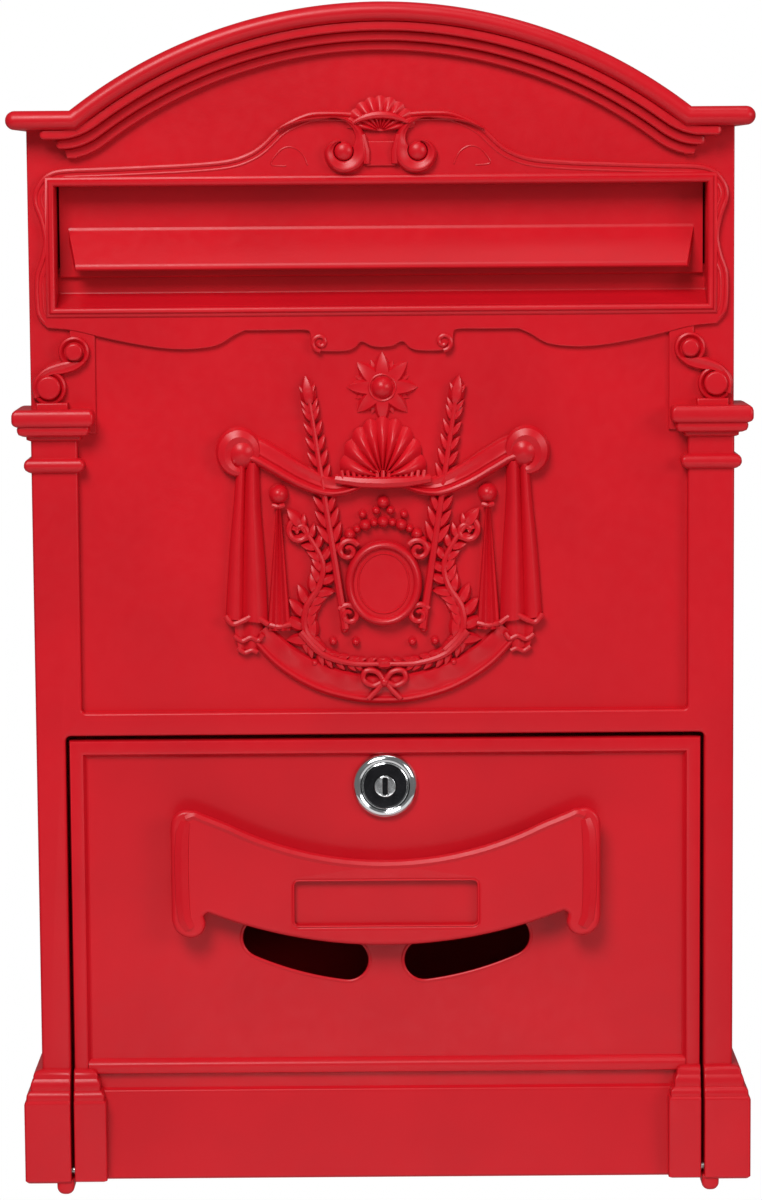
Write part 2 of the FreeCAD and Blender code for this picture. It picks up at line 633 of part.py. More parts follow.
def make_view_slot(body, side):
    """A curved slot whose lower edge lies on one arc and whose upper edge on one above it."""
    lower, upper = "view_radius", "(view_radius - view_height)"
    middle = f"({DOOR_TOP} - view_drop + view_radius)"

    def at(radius, across):
        return f"{middle} - sqrt({radius}^2 - ({across})^2)"
    corners = [(sided(side, "view_inner"), at(lower, "view_inner"), f"{-side} * {lower}"),
               (sided(side, "view_outer"), at(lower, "view_outer"), f"{-side} * view_height * 0.6"),
               (sided(side, "view_outer - 3.5"), at(upper, "view_outer - 3.5"), f"{side} * {upper}"),
               (sided(side, "view_inner + 0.5"), at(upper, "view_inner + 0.5"),
                f"{-side} * view_height * 0.6")]
    front_cut(body, corners, DOOR_PANEL, DOOR_BACK)


def make_pull_handle():
    body = new_body("pull_handle")
    end_low = f"{HANDLE_LOW} + 3"
    low_corner = "handle_half - 14"
    top_corner = "handle_half - 16"
    top = f"{HANDLE_LOW} + handle_waist"
    upper = f"{top} + handle_upper_radius - sqrt(handle_upper_radius^2 - ({top_corner})^2)"
    lower = (f"{HANDLE_LOW} + handle_lower_radius"
             f" - sqrt(handle_lower_radius^2 - ({low_corner})^2)")
    end_top = f"{HANDLE_LOW} + handle_waist + 18"
    corners = [(f"-({low_corner})", lower, "-handle_lower_radius"), (low_corner, lower),
               (low_corner, end_low), ("handle_half", end_low), ("handle_half", end_top),
               (top_corner, end_top), (top_corner, upper, "handle_upper_radius"),
               (f"-({top_corner})", upper), (f"-({top_corner})", end_top),
               ("-handle_half", end_top), ("-handle_half", end_low), (f"-({low_corner})", end_low)]
    front_pad(body, corners, HANDLE_BACK, HANDLE_FRONT)
    for side in (-1, 1):
        foot = box_corners(*ordered(side, "handle_half - handle_foot", "handle_half - 2"),
                           f"{HANDLE_LOW} + 9", f"{HANDLE_LOW} + 44")
        front_pad(body, foot, DOOR_PANEL, HANDLE_BACK)
    card_low = f"{HANDLE_LOW} + 6.8"
    front_cut(body, box_corners("-card_half", "card_half", card_low, f"{card_low} + card_height"),
              HANDLE_FRONT, f"{HANDLE_BACK} + 1.5")
    front_holes(body, [(x, f"{HANDLE_LOW} + {rise}") for x, rise in HANDLE_FEET],
                "screw_radius", f"{DOOR_PANEL} + 6", DOOR_PANEL)


def make_handle_screws():
    group("handle_screws", [
        screw(x, DOOR_BACK, f"{HANDLE_LOW} + {rise}", "front", "screw_radius", "door_plate + 6")
        for x, rise in HANDLE_FEET])


# ---------------------------------------------------------------- lock

FACE_SEAT = f"({DOOR_PANEL} + 1)"


def lock_bar(radius, start, end):
    return round_bar(radius, f"({end}) - ({start})", "0", start, LOCK_HEIGHT, "front")


def make_lock_fixed():
    shell = fuse(lock_bar("bezel_radius", DOOR_PANEL, f"{DOOR_PANEL} + bezel_height"),
                 lock_bar("barrel_radius", BARREL_END, DOOR_PANEL))
    bores = fuse(lock_bar("plug_radius + running_gap", f"{BARREL_END} - 1", f"{FACE_SEAT} + 1"),
                 lock_bar("face_radius + 0.1", FACE_SEAT, f"{DOOR_PANEL} + bezel_height + 1"))
    node(cut(shell, bores), "lock_housing")
    washer = cut(lock_bar("barrel_radius + 3", f"{DOOR_BACK} - 0.6", DOOR_BACK),
                 lock_bar("barrel_radius", f"{DOOR_BACK} - 0.6", DOOR_BACK))
    node(washer, "lock_washer")
    hexagon = doc.addObject("Part::Prism", "Hexagon")
    hexagon.Polygon = 6
    hexagon.Placement.Rotation = FreeCAD.Rotation(FreeCAD.Vector(1, 0, 0), 90)
    bind(hexagon, "Circumradius", "barrel_radius + 3.5")
    bind(hexagon, "Height", "4")
    bind(hexagon, "Placement.Base.y", f"-({DOOR_BACK} - 4.6)")
    bind(hexagon, "Placement.Base.z", LOCK_HEIGHT)
    node(cut(hexagon, lock_bar("barrel_radius", f"{DOOR_BACK} - 5", DOOR_BACK)), "lock_nut")


def make_lock_turning():
    face_back = f"({FACE_SEAT} + 0.3)"
    rear = f"({BARREL_END} - gap)"
    keyway = block("-1", "1", f"{DOOR_PANEL} - 8", f"{DOOR_PANEL} + 4", f"{LOCK_HEIGHT} - 4.4",
                   f"{LOCK_HEIGHT} + 4.4")
    pilot = lock_bar("screw_radius", rear, f"{rear} + 8")
    node(cut(lock_bar("plug_radius", rear, face_back), fuse(keyway, pilot)), "lock_plug")
    slot = block("-1", "1", f"{DOOR_PANEL} - 8", f"{DOOR_PANEL} + 4", f"{LOCK_HEIGHT} - 4.4",
                 f"{LOCK_HEIGHT} + 4.4")
    node(cut(lock_bar("face_radius", face_back, f"{face_back} + 1.2"), slot), "lock_face")
    cam_back = f"({rear} - cam_wall)"
    blade = fuse(block("-cam_length", "0", cam_back, rear, f"{LOCK_HEIGHT} - cam_width / 2",
                       f"{LOCK_HEIGHT} + cam_width / 2"),
                 lock_bar("cam_width / 2", cam_back, rear))
    node(cut(blade, lock_bar("screw_radius", cam_back, rear)), "lock_cam")
    washer = cut(lock_bar("5.5", f"{cam_back} - 0.6", cam_back),
                 lock_bar("screw_radius", f"{cam_back} - 0.6", cam_back))
    node(washer, "cam_washer")
    head = f"({cam_back} - 0.6)"
    node(fuse(lock_bar("4", f"{head} - 2.4", head), lock_bar("screw_radius", head, f"{rear} + 8")),
         "cam_screw")


SIDES = ((-1, "left"), (1, "right"))
make_back_plate()
make_floor_plate()
make_arched_roof()
make_front_casting()
make_slot_surround()
make_crest_scrolls()
make_emblem_relief()
make_flap_rod()
make_rod_clips()
make_housing_screws()
for side, hand in SIDES:
    make_side_wall(side, f"{hand}_side_wall")
    make_console(side, f"{hand}_console")
    make_hinge_pin(side, f"{hand}_hinge_pin")
make_letter_flap()
make_door_casting()
make_pull_handle()
make_handle_screws()
make_lock_fixed()
make_lock_turning()

doc.recompute()
failed = [thing.Label for thing in doc.Objects if {"Invalid", "Error"} & set(thing.State)]
bad = [n.Label for n in nodes if n.Shape.isNull() or not n.Shape.isValid() or not n.Shape.Solids]
if failed or bad:
    raise RuntimeError(f"failed features: {failed}; bad shapes: {bad}")
os.makedirs("parts", exist_ok=True)
for made in nodes:
    made.Shape.exportStep(f"parts/{made.Label}.step")
    print(made.Label, len(made.Shape.Solids), round(made.Shape.Volume), made.Shape.BoundBox)
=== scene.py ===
import json
from math import asin, atan2, copysign, cos, degrees, pi, radians, sin, sqrt, tan
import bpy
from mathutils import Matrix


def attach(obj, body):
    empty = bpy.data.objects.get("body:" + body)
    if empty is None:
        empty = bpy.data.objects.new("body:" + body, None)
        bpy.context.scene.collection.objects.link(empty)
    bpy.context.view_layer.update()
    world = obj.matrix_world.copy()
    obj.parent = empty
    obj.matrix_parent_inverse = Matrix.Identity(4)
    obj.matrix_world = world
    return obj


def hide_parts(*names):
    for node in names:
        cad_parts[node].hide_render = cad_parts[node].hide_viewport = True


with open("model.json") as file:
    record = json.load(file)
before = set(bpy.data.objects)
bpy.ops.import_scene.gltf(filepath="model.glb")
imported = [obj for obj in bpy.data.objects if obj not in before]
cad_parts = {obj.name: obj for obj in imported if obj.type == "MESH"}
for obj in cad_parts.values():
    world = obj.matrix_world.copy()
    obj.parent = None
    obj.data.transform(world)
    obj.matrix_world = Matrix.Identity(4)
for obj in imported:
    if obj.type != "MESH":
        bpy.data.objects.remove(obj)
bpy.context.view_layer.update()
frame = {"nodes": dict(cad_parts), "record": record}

from types import SimpleNamespace

import bpy
from bpy.props import FloatProperty, FloatVectorProperty, PointerProperty
from mathutils import Matrix, Quaternion, Vector

bl_info = {
    "name": "Wall letterbox",
    "version": (1, 0, 0),
    "blender": (4, 5, 0),
    "location": "View3D > Sidebar > Letterbox",
    "description": "Adds the cast pieces, flap, door, lock and finishes of a wall letterbox",
    "category": "Add Mesh",
}

# Sizes below are in millimetres: x, the depth out from the wall, and the height above the base.
MM = 0.001
BASE = -190.0
RED, STEEL, CHROME, BLACK = "red_coating", "zinc_steel", "lock_chrome", "lock_black"
SMOOTH_BELOW = radians(32)
SURROUND_PROUD = 1.8  # the moulded board over the front panel
DOOR_HEAD = 160.8  # the top of the door opening


# ---------------------------------------------------------------- sizes and colours

def length(name, description, millimetres):
    return FloatProperty(name=name, description=description, default=millimetres * MM,
                         min=0.0001, unit="LENGTH", subtype="DISTANCE")


def colour(name, description, value):
    return FloatVectorProperty(name=name, description=description, default=value, size=4,
                               min=0.0, max=1.0, subtype="COLOR")


class LETTERBOX_PG_sizes(bpy.types.PropertyGroup):
    """Sizes that the pieces share"""
    half_width: length("Half width", "Half the body's width", 123.6)
    eaves: length("Eaves", "Height of the shoulders' underside", 374)
    slab: length("Roof slab", "Thickness of the roof slab", 6.6)
    roof_depth: length("Roof depth", "Depth of the roof slab", 90)
    arch_half: length("Arch half width", "Half the arch's width at the eaves", 105.5)
    arch_rise: length("Arch rise", "Height of the arch over the eaves", 36.6)
    panel: length("Panel depth", "Depth of the main front face", 78)
    face: length("Pilaster depth", "Depth of the pilaster and door rail faces", 81.5)
    wall: length("Wall", "Thickness of the cast walls", 2.5)
    shaft_inner: length("Shaft edge", "Inner edge of the pilaster shafts", 107.2)
    capital_top: length("Capital top", "Height of the capitals' top", 276.9)
    door_half: length("Door half width", "Half the door's width", 112)
    door_top: length("Door top", "Height of the door's top edge", 159.1)
    slot_half: length("Opening half width", "Half the letter opening's width", 114)
    slot_low: length("Opening sill", "Height of the letter opening's sill", 312.3)
    slot_high: length("Opening head", "Height of the letter opening's head", 354.5)
    flap_half: length("Flap half width", "Half the letter flap's width", 113.2)
    lock_height: length("Lock height", "Height of the lock's centre", 142.1)
    bezel: length("Bezel radius", "Radius of the lock's rim", 11.7)


class LETTERBOX_PG_finish(bpy.types.PropertyGroup):
    """Colours of the finishes"""
    coating: colour("Coating", "Colour of the powder coat", (0.59, 0.006, 0.014, 1))
    steel: colour("Zinc steel", "Colour of the plated screws and rods", (0.52, 0.52, 0.50, 1))
    chrome: colour("Chrome", "Colour of the lock's plated parts", (0.78, 0.79, 0.80, 1))
    black: colour("Black cap", "Colour of the lock's face", (0.006, 0.006, 0.007, 1))
    floor: colour("Floor", "Colour of the floor", (0.9, 0.9, 0.9, 1))


def sizes(context):
    """The sizes of the scene, in millimetres."""
    group = context.scene.letterbox_sizes
    found = {key: getattr(group, key) / MM for key in LETTERBOX_PG_sizes.__annotations__}
    s = SimpleNamespace(**found)
    s.arch_radius = (s.arch_half ** 2 + s.arch_rise ** 2) / (2 * s.arch_rise)
    s.arch_centre = s.eaves + s.arch_rise - s.arch_radius
    s.back = s.panel - s.wall
    return s


# ---------------------------------------------------------------- outlines

def place(x, depth, height):
    """A point of the scene, in metres, from the sizes above."""
    return x * MM, -depth * MM, (height + BASE) * MM


def arc(cx, cy, radius, start, end, steps=12):
    """Points of an arc from one angle to another, in degrees."""
    angles = [radians(start + (end - start) * i / steps) for i in range(steps + 1)]
    return [(cx + radius * cos(a), cy + radius * sin(a)) for a in angles]


def rectangle(x0, x1, y0, y1, radius=0.0):
    corners = [(x0, y0), (x1, y0), (x1, y1), (x0, y1)]
    return rounded([(*corner, radius) for corner in corners]) if radius else corners


def facing(side, points):
    """The points as they are for side 1, or mirrored across the middle for side -1."""
    return [(side * x, *rest) for x, *rest in points]


def both(points):
    """A line that starts in the middle, with its mirror image before it."""
    return facing(-1, points[:0:-1]) + points


def rounded(corners, steps=7):
    """A closed outline whose corners (x, y, radius) are rounded; (x, y) stays sharp."""
    points = []
    count = len(corners)
    for i, corner in enumerate(corners):
        here = Vector(corner[:2])
        if len(corner) == 2 or corner[2] <= 0:
            points.append(tuple(here))
            continue
        before = (Vector(corners[i - 1][:2]) - here).normalized()
        after = (Vector(corners[(i + 1) % count][:2]) - here).normalized()
        angle = before.angle(after)
        reach = corner[2] / tan(angle / 2)
        centre = here + (before + after).normalized() * corner[2] / sin(angle / 2)
        start = (here + before * reach) - centre
        turn = start.angle_signed((here + after * reach) - centre)
        for k in range(steps + 1):
            spoke = start.copy()
            spoke.rotate(Matrix.Rotation(-turn * k / steps, 2))
            points.append(tuple(centre + spoke))
    return points


def smooth(points, steps=6):
    """A smooth open line through the points."""
    line = []
    for i in range(len(points) - 1):
        p0 = points[max(i - 1, 0)]
        p1, p2 = points[i], points[i + 1]
        p3 = points[min(i + 2, len(points) - 1)]
        for k in range(steps):
            t = k / steps
            line.append(tuple(
                0.5 * (2 * b + (c - a) * t + (2 * a - 5 * b + 4 * c - d) * t * t
                       + (3 * b - a - 3 * c + d) * t ** 3)
                for a, b, c, d in zip(p0, p1, p2, p3)))
    line.append(tuple(points[-1]))
    return line


def offset(points, distance, closed=True):
    """The line moved to its left by a distance, with mitred corners."""
    moved = []
    count = len(points)
    for i, point in enumerate(points):
        here = Vector(point)
        sides = []
        for a, b in ((i - 1, i), (i, i + 1)):
            if not closed and (a < 0 or b >= count):
                continue
            way = Vector(points[b % count]) - Vector(points[a % count])
            if way.length > 1e-6:
                sides.append(Vector((-way.y, way.x)).normalized())
        mitre = sum(sides, Vector((0, 0))).normalized()
        reach = distance / max(mitre.dot(sides[0]), 0.35)
        moved.append(tuple(here + mitre * reach))
    return moved


def spiral(cx, cy, radius, inner, start, turns, steps):
    """Points that wind in from a radius to an inner one, from an angle in degrees."""
    points = []
    for i in range(steps + 1):
        t = i / steps
        a = radians(start + 360 * turns * t)
        r = radius + (inner - radius) * t
        points.append((cx + r * cos(a), cy + r * sin(a)))
    return points


def half_round(width, low, rise, steps=8):
    """A section of (offset, depth) points: a half-round bead that stands on a flat."""
    return [(-width / 2 * cos(pi * i / steps), low + rise * sin(pi * i / steps))
            for i in range(steps + 1)]


# ---------------------------------------------------------------- mesh helpers

def select(*pieces):
    bpy.ops.object.select_all(action="DESELECT")
    for piece in pieces:
        piece.select_set(True)
    bpy.context.view_layer.objects.active = pieces[0]


def settle():
    """Moves the active piece's place, turn and scale into its mesh."""
    bpy.ops.object.transform_apply(location=True, rotation=True, scale=True)


def in_mesh(piece, *steps):
    """Runs mesh operators, given as (operator, options), on the whole of a piece."""
    select(piece)
    bpy.ops.object.mode_set(mode="EDIT")
    for step, options in steps:
        bpy.ops.mesh.select_all(action="SELECT")
        step(**options)
    bpy.ops.object.mode_set(mode="OBJECT")
    return piece


OUTWARDS = (bpy.ops.mesh.normals_make_consistent, {"inside": False})


def clean(piece, fill=True):
    """Merges doubles, closes open ends and turns the faces outwards."""
    merge = (bpy.ops.mesh.remove_doubles, {"threshold": 0.004 * MM})
    dissolve = (bpy.ops.mesh.dissolve_degenerate, {"threshold": 0.001 * MM})
    close = [(bpy.ops.mesh.fill_holes, {"sides": 0})] if fill else []
    return in_mesh(piece, merge, dissolve, *close, OUTWARDS)


def shaped(name, rows, closed=False):
    """A skin over rows of (x, depth, height) points; closed joins each row's end to its start."""
    if closed:
        rows = [[*row, row[0]] for row in rows]
    bpy.ops.object.select_all(action="DESELECT")
    bpy.ops.mesh.primitive_grid_add(x_subdivisions=len(rows[0]) - 1,
                                    y_subdivisions=len(rows) - 1, size=1)
    piece = bpy.context.object
    piece.name = piece.data.name = name
    while piece.data.uv_layers:
        piece.data.uv_layers.remove(piece.data.uv_layers[0])
    flat = [value for row in rows for point in row for value in place(*point)]
    piece.data.vertices.foreach_set("co", flat)
    return clean(piece)


def bar(name, x0, x1, section):
    """A straight moulding along x with a section of (depth, height) points."""
    return shaped(name, [[(x, d, h) for d, h in section] for x in (x0, x1)], closed=True)


def moulding(name, path, section, closed=True):
    """A moulding along a line seen from the front; its section is (offset to the left, depth)."""
    rows = [[(x, depth, h) for x, h in offset(path, aside, closed)] for aside, depth in section]
    return shaped(name, rows + rows[:1], closed)


def revolved(name, x, height, section, steps=48):
    """A turned piece about an axis out from the wall, with a section of (radius, depth)."""
    rows = [[(x + px, depth, height + py) for px, py in arc(0, 0, radius, 0, 360, steps)[:-1]]
            for radius, depth in section]
    return shaped(name, rows, closed=True)


def curve(name, dimensions, lines, closed):
    """A curve object of straight pieces; each line holds (place in metres, radius) points."""
    data = bpy.data.curves.new(name, "CURVE")
    data.dimensions = dimensions
    for line in lines:
        spline = data.splines.new("POLY")
        spline.points.add(len(line) - 1)
        for point, (where, radius) in zip(spline.points, line):
            point.co, point.radius = (*where, 1), radius
        spline.use_cyclic_u = closed
    piece = bpy.data.objects.new(name, data)
    bpy.context.scene.collection.objects.link(piece)
    select(piece)
    return piece


def board(name, outlines, back, front, edge=0.6, steps=3):
    """A plate between two depths from its outline and holes, with rounded edges."""
    lines = [[((x * MM, (h + BASE) * MM, 0), 1) for x, h in points] for points in outlines]
    piece = curve(name, "2D", lines, True)
    piece.data.fill_mode = "BOTH"
    piece.data.extrude = ((front - back) / 2 - edge) * MM
    piece.data.bevel_depth, piece.data.offset = edge * MM, -edge * MM
    piece.data.bevel_resolution = steps
    bpy.ops.object.convert(target="MESH")
    piece.rotation_euler = (pi / 2, 0, 0)
    piece.location = (0, -(front + back) / 2 * MM, 0)
    settle()
    return clean(piece, fill=False)


def tube(name, points, radii):
    """A rod through (x, depth, height) points; radii is one radius or one for each point."""
    radii = radii if isinstance(radii, (list, tuple)) else [radii] * len(points)
    piece = curve(name, "3D", [[(place(*p), r) for p, r in zip(points, radii)]], False)
    piece.data.bevel_depth, piece.data.bevel_resolution = MM, 2
    piece.data.use_fill_caps = True
    bpy.ops.object.convert(target="MESH")
    return clean(piece)


def cord(name, line, depth, radii):
    """A rod along a line seen from the front, at one depth."""
    return tube(name, [(x, depth, h) for x, h in line], radii)


def block(name, x0, x1, back, front, low, high, edge=0.5):
    """A cast block with rounded edges."""
    bpy.ops.object.select_all(action="DESELECT")
    corner, far = place(x0, back, low), place(x1, front, high)
    middle = [(a + b) / 2 for a, b in zip(corner, far)]
    bpy.ops.mesh.primitive_cube_add(size=1, location=middle,
                                    scale=[abs(b - a) for a, b in zip(corner, far)])
    piece = bpy.context.object
    piece.name = piece.data.name = name
    settle()
    bevel = piece.modifiers.new("Bevel", "BEVEL")
    bevel.width, bevel.segments = edge * MM, 3
    bpy.ops.object.modifier_apply(modifier=bevel.name)
    return piece


def dome(name, x, height, depth, radius, rise, steps=20):
    """A round boss that stands on a flat."""
    section = [(radius * cos(a), depth + rise * sin(a))
               for a in (pi / 2 * i / 5 for i in range(6))]
    return revolved(name, x, height, [(radius, depth - 0.4)] + section, steps)


def leaf(name, x, height, angle, size, half, depth, rise):
    """A pointed leaf with a sunk rib, laid from its foot along an angle in degrees."""
    way = Vector((cos(radians(angle)), sin(radians(angle))))
    side = Vector((-way.y, way.x))
    rows = []
    for i in range(8):
        u = i / 7
        wide = half * sin(pi * u ** 0.75) ** 0.8 if 0 < i < 7 else 0.0
        row = []
        for v in (-1, -0.55, 0, 0.55, 1):
            foot = Vector((x, height)) + way * size * u + side * wide * v
            lift = rise * sin(pi * min(u * 0.75 + 0.2, 1)) * (1 - v * v)
            crest = lift * (0.62 if v == 0 else 1.0) if wide else lift * 0.4
            row.append((foot.x, depth - 0.3 if abs(v) == 1 else depth + crest, foot.y))
        rows.append(row)
    return shaped(name, rows)


def joined(name, pieces):
    """The pieces as one, under a new name."""
    select(*pieces)
    if len(pieces) > 1:
        bpy.ops.object.join()
    piece = bpy.context.object
    piece.name = piece.data.name = name
    return piece


def flipped(piece, name):
    """A copy of a piece, mirrored across the middle."""
    select(piece)
    bpy.ops.object.duplicate(linked=False)
    copy = bpy.context.object
    copy.name = copy.data.name = name
    copy.scale = (-1, 1, 1)
    settle()
    return in_mesh(copy, OUTWARDS)


def finish(piece, *nodes, body="housing", slot=RED):
    """Shades a piece that stands for CAD nodes, gives it its finish and hangs it on its body."""
    select(piece)
    bpy.ops.object.shade_smooth_by_angle(angle=SMOOTH_BELOW)
    bpy.ops.object.modifier_add(type="WEIGHTED_NORMAL")
    weighted = piece.modifiers[-1]
    weighted.mode, weighted.weight, weighted.keep_sharp = "FACE_AREA_WITH_ANGLE", 60, True
    bpy.ops.object.modifier_apply(modifier=weighted.name)
    piece.data.materials.clear()
    piece.data.materials.append(finishes()[slot])
    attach(piece, body)
    if nodes:
        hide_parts(*nodes)


def finish_pair(right, left_name, right_nodes=(), left_nodes=()):
    """Finishes a piece of the housing's right side and its mirror image."""
    left = flipped(right, left_name)
    finish(right, *right_nodes)
    finish(left, *left_nodes)


# ---------------------------------------------------------------- finishes

def noise(tree, scale, detail):
    """Noise on the piece's own coordinates, with its scale in cells to the metre."""
    where = tree.nodes.new("ShaderNodeTexCoord")
    made = tree.nodes.new("ShaderNodeTexNoise")
    made.inputs["Scale"].default_value = scale
    made.inputs["Detail"].default_value = detail
    tree.links.new(where.outputs["Object"], made.inputs["Vector"])
    return made.outputs["Fac"]


def spread(tree, value, low, high):
    """The value's middle range, moved to lie from low to high."""
    made = tree.nodes.new("ShaderNodeMapRange")
    made.inputs["From Min"].default_value, made.inputs["From Max"].default_value = 0.3, 0.7
    made.inputs["To Min"].default_value, made.inputs["To Max"].default_value = low, high
    tree.links.new(value, made.inputs["Value"])
    return made.outputs["Result"]


def blended(tree, value, first, second):
    """A colour between two, by the middle range of a value."""
    made = tree.nodes.new("ShaderNodeValToRGB")
    made.color_ramp.elements[0].position, made.color_ramp.elements[1].position = 0.3, 0.7
    made.color_ramp.elements[0].color, made.color_ramp.elements[1].color = first, second
    tree.links.new(value, made.inputs["Fac"])
    return made.outputs["Color"]


def bumps(tree, layers, normal):
    """Bumps of (noise, strength, distance in millimetres), one over another."""
    last = None
    for grain, strength, distance in layers:
        made = tree.nodes.new("ShaderNodeBump")
        made.inputs["Strength"].default_value = strength
        made.inputs["Distance"].default_value = distance * MM
        tree.links.new(noise(tree, *grain), made.inputs["Height"])
        if last:
            tree.links.new(last, made.inputs["Normal"])
        last = made.outputs["Normal"]
    tree.links.new(last, normal)


def tinted(value, share):
    """A colour made darker or lighter by a share."""
    return (*[min(c * share, 1) for c in value[:3]], 1)


def surface(name, value, patches, tones, sheen, rough, layers, metallic=0.0, specular=0.5):
    """A finish whose colour drifts between two tones of a value, and its roughness between two.

    patches, sheen and each layer's first part are the (scale, detail) of their noise.
    """
    material = bpy.data.materials.new(name)
    material.use_nodes = True
    tree = material.node_tree
    sockets = tree.nodes["Principled BSDF"].inputs
    dark, light = (tinted(value, tone) for tone in tones)
    tree.links.new(blended(tree, noise(tree, *patches), dark, light), sockets["Base Color"])
    tree.links.new(spread(tree, noise(tree, *sheen), *rough), sockets["Roughness"])
    sockets["Metallic"].default_value = metallic
    sockets["Specular IOR Level"].default_value = specular
    bumps(tree, layers, sockets["Normal"])
    return material


def powder_coat(value):
    """Satin powder coat on a sand casting: fine orange peel over soft waves."""
    waves, peel = ((120, 2), 0.35, 0.12), ((1500, 2), 0.3, 0.03)
    return surface("red powder coat", value, patches=(22, 3), tones=(0.94, 1.06),
                   sheen=(260, 4), rough=(0.30, 0.38), layers=[waves, peel], specular=0.3)


def zinc_steel(value):
    """Zinc plate: a faint crystal mottle with fine scratches."""
    return surface("zinc plated steel", value, patches=(400, 3), tones=(0.85, 1.1),
                   sheen=(900, 3), rough=(0.28, 0.42), layers=[((1200, 2), 0.2, 0.02)],
                   metallic=1.0)


def chrome(value):
    """Bright chrome plate with the faintest haze."""
    return surface("chrome plate", value, patches=(150, 2), tones=(0.95, 1.05),
                   sheen=(500, 2), rough=(0.08, 0.16), layers=[((700, 2), 0.1, 0.01)],
                   metallic=1.0)


def black_cap(value):
    """Gloss black plastic with light handling marks."""
    return surface("gloss black cap", value, patches=(300, 3), tones=(1.0, 2.0),
                   sheen=(800, 4), rough=(0.18, 0.3), layers=[((1500, 2), 0.15, 0.01)],
                   specular=0.12)


def floor_paint(value):
    """Matt studio floor with a fine tooth."""
    return surface("studio floor", value, patches=(8, 2), tones=(0.985, 1.0),
                   sheen=(8, 2), rough=(0.7, 0.7), layers=[((300, 2), 0.05, 0.1)])


MADE_FINISHES = {}


def finishes():
    """The material of each of the record's slots."""
    if not MADE_FINISHES:
        colours = bpy.context.scene.letterbox_finish
        MADE_FINISHES.update({RED: powder_coat(colours.coating), STEEL: zinc_steel(colours.steel),
                              CHROME: chrome(colours.chrome), BLACK: black_cap(colours.black)})
    return MADE_FINISHES


# ---------------------------------------------------------------- roof

def bend_line(s, drop, end, bend_run):
    """Right to left, a line that lies a drop under the slab, with its two bends softened."""
    radius, level = s.arch_radius - drop, s.eaves - drop
    reach = sqrt(max(radius ** 2 - (level - s.arch_centre) ** 2, 0))
    start = degrees(atan2(level - s.arch_centre, reach))
    arch = arc(0, s.arch_centre, radius, start, 180 - start, 72)
    if not bend_run:
        return [(end, level), *arch, (-end, level)]
    kept = [point for point in arch if abs(point[0]) < reach - bend_run]
    first, knee = Vector((reach + bend_run, level)), Vector((reach, level))
    last = Vector(kept[0])
    bend = [tuple(first * (1 - t) ** 2 + knee * 2 * t * (1 - t) + last * t * t)
            for t in (k / 8 for k in range(9))]
    return [(end, level), *bend, *kept[1:-1], *facing(-1, bend[::-1]), (-end, level)]


def rolled_edge(name, over, under, back, front, easing=1.0):
    """A slab between two lines seen from the front; easing 1 rounds its front edge fully."""
    half = (Vector(over[0]) - Vector(under[0])).length / 2
    radius = half * easing
    nose = [(back, -1), (back + 2, -1)]
    for a in (pi * i / 12 for i in range(13)):
        level = -cos(a)
        nose.append((front - radius + radius * sin(a),
                     level * easing + copysign(1 - easing, level)))
    nose += [(back + 2, 1), (back, 1)]
    ends = []
    for side, a, b in ((1, over[0], under[0]), (-1, over[-1], under[-1])):
        middle, across = (Vector(a) + Vector(b)) / 2, (Vector(a) - Vector(b)) / 2
        cap = []
        for turn in (pi / 2 * i / 6 for i in range(7)):
            share = cos(turn)
            out = Vector((side * half * (sin(turn) - 1), 0))
            cap.append((middle + out + across * share, middle + out - across * share, share))
        ends.append(cap)
    inner = [(Vector(a), Vector(b), 1.0) for a, b in zip(over[1:-1], under[1:-1])]
    start = front - radius
    rows = []
    for top, low, share in ends[0][::-1] + inner + ends[1]:
        row = []
        for depth, across in nose:
            point = (top + low) / 2 + (top - low) / 2 * across
            run = start + (depth - start) * share if depth > start else depth
            row.append((point.x, run, point.y))
        rows.append(row)
    return shaped(name, rows, closed=True)


def make_roof(s):
    overhang, step_drop, step_back, step_in = 6.4, 3.3, 3, 5.4
    bend_run, overlap, easing = 7, 0.1, 0.55
    end = s.half_width + overhang
    over, under = (bend_line(s, drop, end, 0) for drop in (-s.slab, 0))
    finish(rolled_edge("roof_slab", over, under, 0, s.roof_depth), "arched_roof")
    steps = []
    for k in (1, 2, 3):
        end = s.half_width - step_in * k
        under = bend_line(s, step_drop * k, end, bend_run)
        over = bend_line(s, step_drop * (k - 1) - overlap, end, bend_run)
        steps.append(rolled_edge("step", over, under, s.panel - 1.5,
                                 s.roof_depth - step_back * k, easing))
    finish(joined("roof_mouldings", steps))


# ---------------------------------------------------------------- housing front and sides

def letter_opening(s):
    """Outline of the opening that the flap hangs in."""
    return rectangle(-s.slot_half, s.slot_half, s.slot_low, s.slot_high)


def make_front_panel(s):
    under_arch, over_eaves, low = 2, 0.6, 161
    radius, half, top = s.arch_radius - under_arch, s.half_width, s.eaves + over_eaves
    start = degrees(asin((s.eaves - under_arch - s.arch_centre) / radius))
    reach = radius * cos(radians(start))
    outer = [(-half, low), (half, low), (half, top), (reach, top),
             *arc(0, s.arch_centre, radius, start, 180 - start, 48), (-reach, top), (-half, top)]
    panel = board("front_panel", [outer, letter_opening(s)], s.back, s.panel, 0.5)
    finish(panel, "front_casting")


